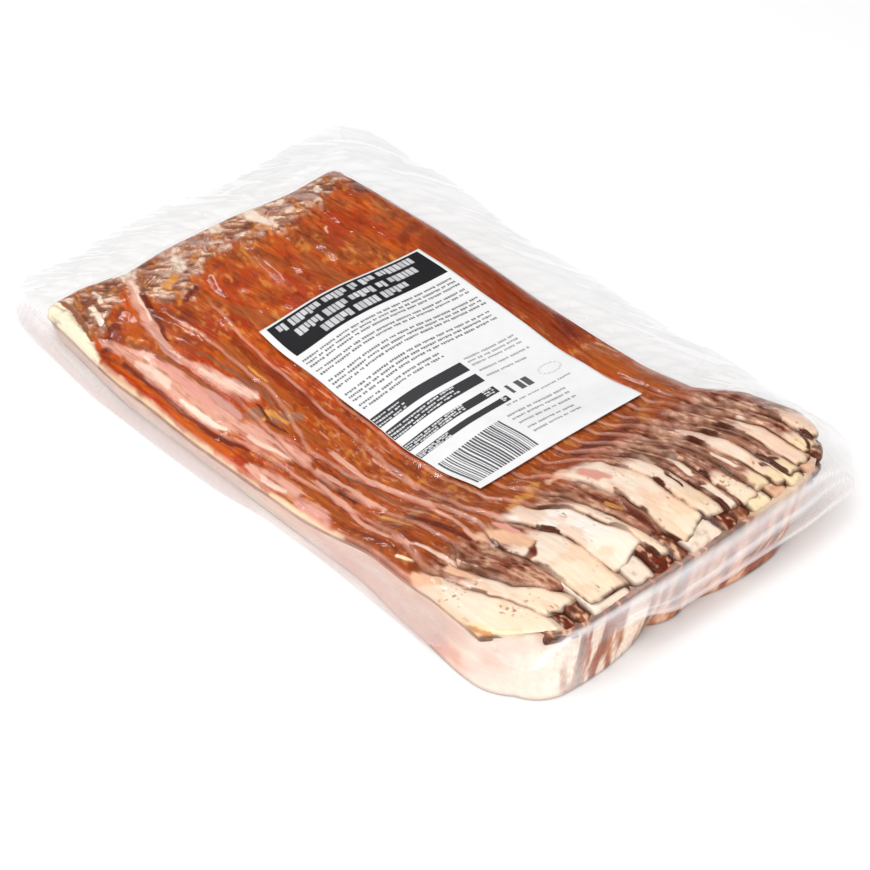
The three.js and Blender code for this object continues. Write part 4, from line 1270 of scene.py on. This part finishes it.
# The near or far margin, spread so that its ends reach the pouch's corners.
def endLines(line, sign, shares):
    p, form = pouch, filmForm
    atLeft = line[:, 0] < 0
    rim = np.where(atLeft, line[form["sideSteps"], 0], line[-1 - form["marginSteps"], 0])
    edge = lambda y: np.where(atLeft, curveAt(p["pullLeft"], y) - p["width"] / 2,
                              p["width"] / 2 - curveAt(p["pullRight"], y))
    side, pulls, bend = (("near", p["pullNear"], p["droopSide"]) if sign < 0
                         else ("far", p["pullFar"], p["droopMargin"]))
    past = (line[:, 0] - rim) / (edge(line[:, 1]) - rim)
    toY = sign * (p["length"] / 2 - curveAt(pulls, line[:, 0]))
    toX = np.where(past > 0, mix(rim, edge(toY), past), line[:, 0])
    own = freeEdgeHeight(toX, toY, side)
    other = np.where(atLeft, freeEdgeHeight(toX, toY, "left"), freeEdgeHeight(toX, toY, "right"))
    return marginLines(line, toX, toY, mix(own, other, ease(past)), shares, bend)


# The upper film's places: tight over the meat, then out to the free edge all round.
def upperFilm():
    p, form = pouch, filmForm
    u, v = np.meshgrid(np.linspace(0, 1, form["across"]), np.linspace(0, 1, form["along"]))
    x, y = planPlace(rimOutline(0), u, v)
    z = crownAt(x, y) + np.maximum(fieldAt(filmField(), x, y), form["deepestDip"]) + form["gap"]
    core = np.stack([x, y, z], -1)
    sideShares = np.linspace(0, 1, form["sideSteps"] + 1)[1:]
    marginShares = np.linspace(0, 1, form["marginSteps"] + 1)[1:]
    first, last = core[:, 0], core[:, -1]
    leftX = curveAt(p["pullLeft"], first[:, 1]) - p["width"] / 2
    rightX = p["width"] / 2 - curveAt(p["pullRight"], last[:, 1])
    leftZ, rightZ = freeEdgeHeight(0, first[:, 1], "left"), freeEdgeHeight(0, last[:, 1], "right")
    leftPart = marginLines(first, leftX, first[:, 1], leftZ, sideShares, p["droopSide"])[::-1]
    rightPart = marginLines(last, rightX, last[:, 1], rightZ, marginShares, p["droopMargin"])
    widened = np.concatenate([np.stack(leftPart, 1), core, np.stack(rightPart, 1)], axis=1)
    nearPart = endLines(widened[0], -1, sideShares)[::-1]
    farPart = endLines(widened[-1], 1, marginShares)
    sheet = np.concatenate([np.stack(nearPart), widened, np.stack(farPart)], axis=0)
    sheet[..., 0], sheet[..., 1] = atPouchCorner(sheet[..., 0], sheet[..., 1])
    return sheet


# Wrinkles the upper film, and gives its haze with painted highlights, its painted shade in creases and folds
# with a painted pink reflection, and how slack it is.
def wrinkleFilm(sheet):
    p, form, f = pouch, filmForm, filling
    x, y = sheet[..., 0], sheet[..., 1]
    pastLeft, pastNear = curveAt(f["leftRim"], y) - x, curveAt(f["nearRim"], x) - y
    past = np.maximum.reduce([pastLeft, x - curveAt(f["rightRim"], y), pastNear, y - curveAt(f["farRim"], x)])
    outside = ease(past / 6)
    nearSide = pastNear > pastLeft
    hanging = np.where((pastLeft > -1) | (pastNear > -1), 1.0, 0.0) * ease((86 - x) / 16)

    # Fine wrinkles all over the margin, and folds that radiate from the meat.
    radial = roughNoise(x + 0.5 * y, y - 0.4 * x, 9, 30, 501)
    tension = ease(past / 3) * ease((22 - past) / 18)
    folds = np.sin(2 * math.pi * (np.where(np.abs(x - 64) < 46, y, x) / 11.0 + 0.8 * radial))
    wrinkle = outside * (0.9 * radial + 0.12 * noiseAt(x, y, 4, 4, 511)) + 0.35 * tension * folds
    wrinkle = wrinkle * (1 - 0.9 * hanging)

    # Bands run lengthwise along the hanging flanges: white bands are painted highlights, grey bands painted
    # shade in the folds.
    along = np.where(nearSide, x, y)
    inBands = ease(past / 1.5) * ease((12 - past) / 4)
    wavering = 0.5 * noiseAt(along, 0 * past, 50, 1, 551)
    bands = np.sin(2 * math.pi * (past / form["bandWidth"] + wavering))
    bands = bands + 0.4 * noiseAt(along, past, 60, 2, 553)
    white, grey = ease((bands - 0.1) / 0.6), ease((-bands - 0.3) / 0.5)
    wrinkle = wrinkle + 0.25 * inBands * noiseAt(along, past, 120, 2.4, 515) + 0.3 * bands * hanging * inBands
    offGround = ease((sheet[..., 2] - 0.6) / 2)
    sheet[..., 2] = np.maximum(sheet[..., 2] + wrinkle * offGround, form["lowest"])

    # Creases and the near flange's folds get darker painted shade, and the left flange a painted pink
    # reflection of the meat; the weld, the folds and the flange are cloudier, with white bands and a line
    # along the rim as painted highlights.
    flangeStart = ease((x - form["flangeFrom"]) / form["flangeFade"])
    toEdgeX, toEdgeY = p["width"] / 2 - np.abs(x), p["length"] / 2 - np.abs(y)
    weld = ease((form["weldWidth"] - np.minimum(toEdgeX, toEdgeY)) / 3)
    thin = ease((0.045 - np.abs(noiseAt(x + 0.6 * y, y - 0.3 * x, 34, 34, 541))) / 0.03)
    # Painted shade: grey lines along the near flange's folds; on the left flange a pink tint as painted
    # reflection.
    crease = hanging * np.where(nearSide, 0.75 * grey * flangeStart, 0.85 - 0.5 * white)
    # Painted shade along the margin's thin creases.
    crease = np.maximum(crease, 0.4 * thin * (1 - hanging) * outside)
    cloud = ease((radial - 0.35) / 0.2)
    marginHaze = outside * (form["plainHaze"] + form["weldHaze"] * weld + form["cloudHaze"] * cloud
                            + form["creaseHaze"] * thin)
    toFreeEdge = np.minimum(toEdgeX, toEdgeY - curveAt(p["pullNear"], x))
    edgeLine = form["edgeLine"] * np.exp(-((toFreeEdge - 0.5) / 0.5) ** 2)
    fading = 1 - 0.8 * ease((past - 4.2) / 1.8)
    # Painted highlights: white bands on the flange, and a pale line at its free edge.
    flange = (form["flangeHaze"] + form["flangeHighlight"] * white) * fading + edgeLine
    clouded = mix(form["plainHaze"] + 0.05 * white, flange, nearSide * flangeStart)
    # Painted reflection: the left flange is tinted pink by the meat beside it.
    pinkReflection = (1 - nearSide) * ease(past / 2.5) * (0.34 - 0.14 * white) * ease((y + 132) / 12)
    # Painted highlight: a pale line where the film bends over the rim.
    rimHighlight = mix(form["rimHighlightSide"], form["rimHighlightNear"], nearSide) * np.exp(-((past - 1.4) / 1.2) ** 2)
    flangeHaze = outside * clouded + 0.30 * crease * nearSide + pinkReflection + rimHighlight
    return mix(marginHaze, flangeHaze, hanging), crease, (1 - hanging) * (1 - 0.65 * outside)


# The lower film follows the walls down and closes under the filling.
def lowerFilm():
    form = filmForm
    rings, _ = wallRings(form["lowerInset"], form["bottom"], form["lowerAcross"], form["lowerAlong"])
    rings[:, :, 2] = np.maximum(rings[:, :, 2], form["bottom"])
    rings[0, :, 2] += form["seam"]
    return list(rings) + [bottomRing(rings[-1], form["bottom"])]


def layFilm():
    sheet = upperFilm()
    hazeAndSheen, crease, slack = wrinkleFilm(sheet)
    rows, columns = sheet.shape[:2]
    layers = lowerFilm()
    start, count = rows * columns, layers[0].shape[0]
    below = len(layers) * count
    faces = gridFaces(rows, columns)
    faces += [f[::-1] for f in gridFaces(len(layers), count, around=True, start=start)]
    faces += [tuple(range(start + below - count, start + below))[::-1]]
    values = {"hazeAndSheen": np.concatenate([hazeAndSheen.ravel(), np.full(below, filmForm["lowerHaze"])]),
              "crease": np.concatenate([crease.ravel(), np.zeros(below)]),
              "slack": np.concatenate([slack.ravel(), np.full(below, 0.3)])}
    points = np.concatenate([sheet.reshape(-1, 3), *layers])
    piece = meshPiece("film", points, faces, filmMaterial, "film", None, values)
    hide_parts("sealed_pack")
    print("Film is laid.")


layFilm()


# The height of the label's upper face, with its faint creases.
def labelTop(x, y):
    relief = label["reliefShare"] * (curveAt(label["relief"], y) + rasherLook["wave"])
    crease = label["creaseHeight"] * roughNoise(x, y, 14, 9, 601)
    return crownAt(x, y) + label["gap"] + relief + label["thickness"] + crease


def layLabel():
    across, along = 90, 138
    u, v = np.meshgrid(np.linspace(-0.5, 0.5, across), np.linspace(-0.5, 0.5, along))
    x, y = label["x"] + u * label["width"], label["y"] + v * label["length"]
    top = labelTop(x, y)
    inside = ease((0.5 - np.maximum(np.abs(u), np.abs(v))) * 40)
    upper = np.stack([x, y, top - 0.06 * (1 - inside)], -1).reshape(-1, 3)
    lower = np.stack([x, y, top - label["thickness"] * 0.6], -1).reshape(-1, 3)
    count = across * along
    faces = gridFaces(along, across) + [f[::-1] for f in gridFaces(along, across, start=count)]
    border = list(range(across)) + [r * across + across - 1 for r in range(1, along)]
    border += [(along - 1) * across + c for c in range(across - 2, -1, -1)]
    border += [r * across for r in range(along - 2, 0, -1)]
    for a, b in zip(border, border[1:] + border[:1]):
        faces.append((a, a + count, b + count, b))
    piece = meshPiece("label_paper", np.concatenate([upper, lower]), faces, paperMaterial, "label_paper")
    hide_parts("label")


# The print's layout in millimetres. A block is [left, right, low, high], a row of words [left, right, low]
# and a kind of words [height, greatest letter, gap between words, gap between letters].
printLook = {
    "ink": (0.012, 0.012, 0.014), "barInk": (0.04, 0.04, 0.045), "barcodeInk": (0.10, 0.10, 0.11),
    "grey": (0.20, 0.20, 0.21), "pale": (0.36, 0.36, 0.38), "headingWords": (0.56, 0.56, 0.58),
    "barWords": (0.62, 0.62, 0.64), "markInk": (0.50, 0.62, 0.58),
    "heading": [-41.5, 42.5, 35, 55],
    "headingRows": [[-38, 40, 49.2], [-33, 34, 42.9], [-24, 24, 36.8]],
    "wideRows": [-42, 41, [30.2, 27.7, 25.2, 21.2, 18.7, 13.6, 11.1, 8.6]],
    "middleRows": [-42, 38, [3.2, 0.7, -1.8]],
    "shortRows": [-42, 2, [-5.6, -8.1]],
    "bars": [[-44.3, 4.5, -21, -14.5], [-44.3, 4.5, -30, -24], [-44.3, 4.5, -39, -34.5],
             [-44.3, 4.5, -46, -42.5]],
    # Each bar's words leave a stretch free, from the first place to the second.
    "barGaps": [[-28, 4], [-8, 3], [-12, -2], [-27, 1]],
    "barShares": [0.12, 0.42, 0.72],
    "rightRows": [7.5, 36, [-14.5, -17, -19.5, -24]],
    "lastRightRow": [7.5, 30, [-28.5]],
    "weight": [[8, 9.6, -43.5, -37.5], [13, 15.8, -43.5, -37.5], [16.8, 20, -43.5, -37.5]],
    "mark": {"x": 32, "y": -39.5, "radiusX": 5.6, "radiusY": 3.2, "dots": 14, "dotShare": 0.7},
    "contactRows": [-5, 27, [-54.5, -57.5, -61.5]],
    "lastContactRows": [-5, 22, [-66.5, -70]],
    "footRow": [0, 36, [-48.5]],
    "barcode": [-42.5, -9.5, -77, -53.5], "barcodeLines": [0.35, 0.55, 0.9], "barcodeGaps": [0.45, 0.6, 0.95],
    "headingKind": [4.4, 2.3, 1.8, 0.45], "smallKind": [1.1, 1.0, 0.9, 0.35],
    "barKind": [0.9, 1.5, 0.8, 0.25], "rightKind": [1.0, 1.0, 0.9, 0.35],
    "contactKind": [1.1, 1.1, 0.9, 0.35], "footKind": [0.8, 1.0, 0.9, 0.35],
    "barWave": 0.5, "blockLift": 0.07, "wordLift": 0.13, "seed": 77,
}


# Print is plain blocks only. Each block lies on the paper and bends with it.
class Print:
    def __init__(self):
        self.points, self.faces, self.tones = [], [], []
        self.draw = np.random.default_rng(printLook["seed"])

    def block(self, x0, x1, y0, y1, tone, waveHeight=0.0, lift=printLook["blockLift"]):
        nx, ny = max(2, int((x1 - x0) / 2.0) + 2), max(2, int((y1 - y0) / 2.0) + 2)
        gx, gy = np.meshgrid(np.linspace(x0, x1, nx), np.linspace(y0, y1, ny))
        gy = gy + waveHeight * np.sin(2 * math.pi * (gx + 48) / 54)
        start = sum(len(p) for p in self.points)
        self.points.append(np.stack([gx, gy, labelTop(gx, gy) + lift], -1).reshape(-1, 3))
        self.faces += gridFaces(ny, nx, start=start)
        self.tones.append(np.repeat(np.array([tone], float), nx * ny, axis=0))

    # Words of two to eight letters, each letter a small block of its own width, height and tone.
    def wordRow(self, left, right, low, tone, kind):
        height, letter, wordGap, letterGap = kind
        x = left
        while x < right - letter:
            for _ in range(self.draw.integers(2, 9)):
                if x > right - letter:
                    break
                w = letter * self.draw.uniform(0.6, 1.1)
                raised = 0.25 * height * (self.draw.random() < 0.3)
                shade = np.array(tone) * self.draw.uniform(0.85, 1.1)
                self.block(x, x + w, low + raised, low + height, shade, 0, printLook["wordLift"])
                x += w + letterGap
            x += wordGap

    def wordRows(self, rows, tone, kind):
        left, right, places = rows
        for low in places:
            self.wordRow(left, right, low, tone, kind)


def layBars(sheet):
    look = printLook
    for (left, right, low, high), (gapFrom, gapTo) in zip(look["bars"], look["barGaps"]):
        sheet.block(left, right, low, high, look["barInk"], look["barWave"])
        for share in look["barShares"]:
            for wordsFrom, wordsTo in ((-44, gapFrom), (gapTo, 4)):
                sheet.wordRow(wordsFrom, wordsTo, mix(low, high, share), look["barWords"], look["barKind"])


# A faint ring of short dashes.
def layMark(sheet):
    mark = printLook["mark"]
    for k in range(mark["dots"]):
        a0, a1 = 2 * math.pi * k / mark["dots"], 2 * math.pi * (k + mark["dotShare"]) / mark["dots"]
        xa, xb = mark["x"] + mark["radiusX"] * math.cos(a0), mark["x"] + mark["radiusX"] * math.cos(a1)
        y = mark["y"] + mark["radiusY"] * math.sin((a0 + a1) / 2)
        sheet.block(min(xa, xb) - 0.2, max(xa, xb) + 0.2, y - 0.25, y + 0.25, printLook["markInk"])


def layBarcode(sheet):
    x, right, low, high = printLook["barcode"]
    while x < right:
        w = sheet.draw.choice(printLook["barcodeLines"])
        sheet.block(x, x + w, low, high, printLook["barcodeInk"])
        x += w + sheet.draw.choice(printLook["barcodeGaps"])


def layPrint():
    look, sheet = printLook, Print()
    sheet.block(*look["heading"], look["ink"])
    for left, right, low in look["headingRows"]:
        sheet.wordRow(left, right, low, look["headingWords"], look["headingKind"])
    for rows in ("wideRows", "middleRows", "shortRows"):
        sheet.wordRows(look[rows], look["grey"], look["smallKind"])
    layBars(sheet)
    sheet.wordRows(look["rightRows"], look["pale"], look["rightKind"])
    sheet.wordRows(look["lastRightRow"], look["pale"], look["rightKind"])
    for block in look["weight"]:
        sheet.block(*block, look["barcodeInk"])
    layMark(sheet)
    sheet.wordRows(look["contactRows"], look["pale"], look["contactKind"])
    sheet.wordRows(look["lastContactRows"], look["pale"], look["contactKind"])
    sheet.wordRows(look["footRow"], look["pale"], look["footKind"])
    layBarcode(sheet)
    piece = meshPiece("label_print", np.concatenate(sheet.points), sheet.faces, inkMaterial, "label_ink",
                      np.clip(np.concatenate(sheet.tones), 0, 1))
    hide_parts("label")
    print("Label and print are laid.")


layLabel()
layPrint()


# Lamps are [name, place, width, power], with places and widths in metres.
studio = {
    "floorColour": (0.90, 0.90, 0.90), "floorSize": 4000, "world": 0.60, "mirrored": 0.10,
    "lamps": [["key", (-0.15, 0.1, 1.2), 1.0, 7.5], ["fill", (-0.9, -0.7, 0.9), 0.9, 4.0],
              ["glint", (0.30, 0.88, 0.75), 0.14, 0.6], ["left", (-1.3, -0.3, 0.4), 0.8, 1.8],
              ["near", (-0.3, -1.4, 0.4), 0.8, 4.5]],
}


def layFloor():
    material, nodes, links, shader = newMaterial("paleFloor")
    noise = nodes.new("ShaderNodeTexNoise")
    noise.inputs["Scale"].default_value = 4
    ramp = nodes.new("ShaderNodeValToRGB")
    ramp.color_ramp.elements[0].color = (*[c * 0.99 for c in studio["floorColour"]], 1)
    ramp.color_ramp.elements[1].color = (*studio["floorColour"], 1)
    links.new(noise.outputs["Fac"], ramp.inputs["Fac"])
    links.new(ramp.outputs["Color"], shader.inputs["Base Color"])
    shader.inputs["Roughness"].default_value = 0.9
    shader.inputs["Specular IOR Level"].default_value = 0.1
    size = studio["floorSize"]
    floor = meshPiece("floor", [(-size, -size, 0), (size, -size, 0), (size, size, 0), (-size, size, 0)],
                      [(0, 1, 2, 3)], material, None)
    floor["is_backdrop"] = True


def addArea(name, place, target, size, power):
    light = bpy.data.lights.new(name, "AREA")
    light.shape = "DISK"
    light.size = size
    light.energy = power
    lamp = bpy.data.objects.new(name, light)
    lamp.location = place
    lamp.rotation_euler = (Vector(target) - Vector(place)).to_track_quat("-Z", "Y").to_euler()
    bpy.context.scene.collection.objects.link(lamp)


def lightStudio():
    world = bpy.data.worlds.new("studio")
    bpy.context.scene.world = world
    world.use_nodes = True
    background = world.node_tree.nodes["Background"]
    background.inputs["Color"].default_value = (1, 1, 1, 1)
    nodes, links = world.node_tree.nodes, world.node_tree.links
    rays = nodes.new("ShaderNodeLightPath")
    glossy = rays.outputs["Is Glossy Ray"]
    strength = mapRange(nodes, links, glossy, 0, 1, studio["world"], studio["mirrored"])
    links.new(strength, background.inputs["Strength"])
    for name, place, size, power in studio["lamps"]:
        addArea(name, place, (0, 0, 0), size, power)
    scene = bpy.context.scene
    scene.view_settings.view_transform = "Standard"
    scene.view_settings.look = "None"


# The photograph's viewing angle, with distances in metres and the lens in millimetres.
view = {"target": (-0.03522, -0.04381, 0.021), "azimuth": -41.74, "elevation": 38.97,
        "distance": 1.1993, "lens": 124.14}


def addCamera():
    azimuth, elevation = math.radians(view["azimuth"]), math.radians(view["elevation"])
    back = Vector((math.sin(azimuth) * math.cos(elevation), -math.cos(azimuth) * math.cos(elevation),
                   math.sin(elevation)))
    target = Vector(view["target"])
    camera = bpy.data.objects.new("camera", bpy.data.cameras.new("camera"))
    camera.data.lens = view["lens"]
    camera.data.sensor_width = 36
    camera.location = target + back * view["distance"]
    camera.rotation_euler = (-back).to_track_quat("-Z", "Y").to_euler()
    bpy.context.scene.collection.objects.link(camera)
    bpy.context.scene.camera = camera


layFloor()
lightStudio()
addCamera()
print("Floor, light and camera are set.")

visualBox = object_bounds()
{"cad": [list(corner) for corner in cadBox], "visual": [list(corner) for corner in visualBox]}
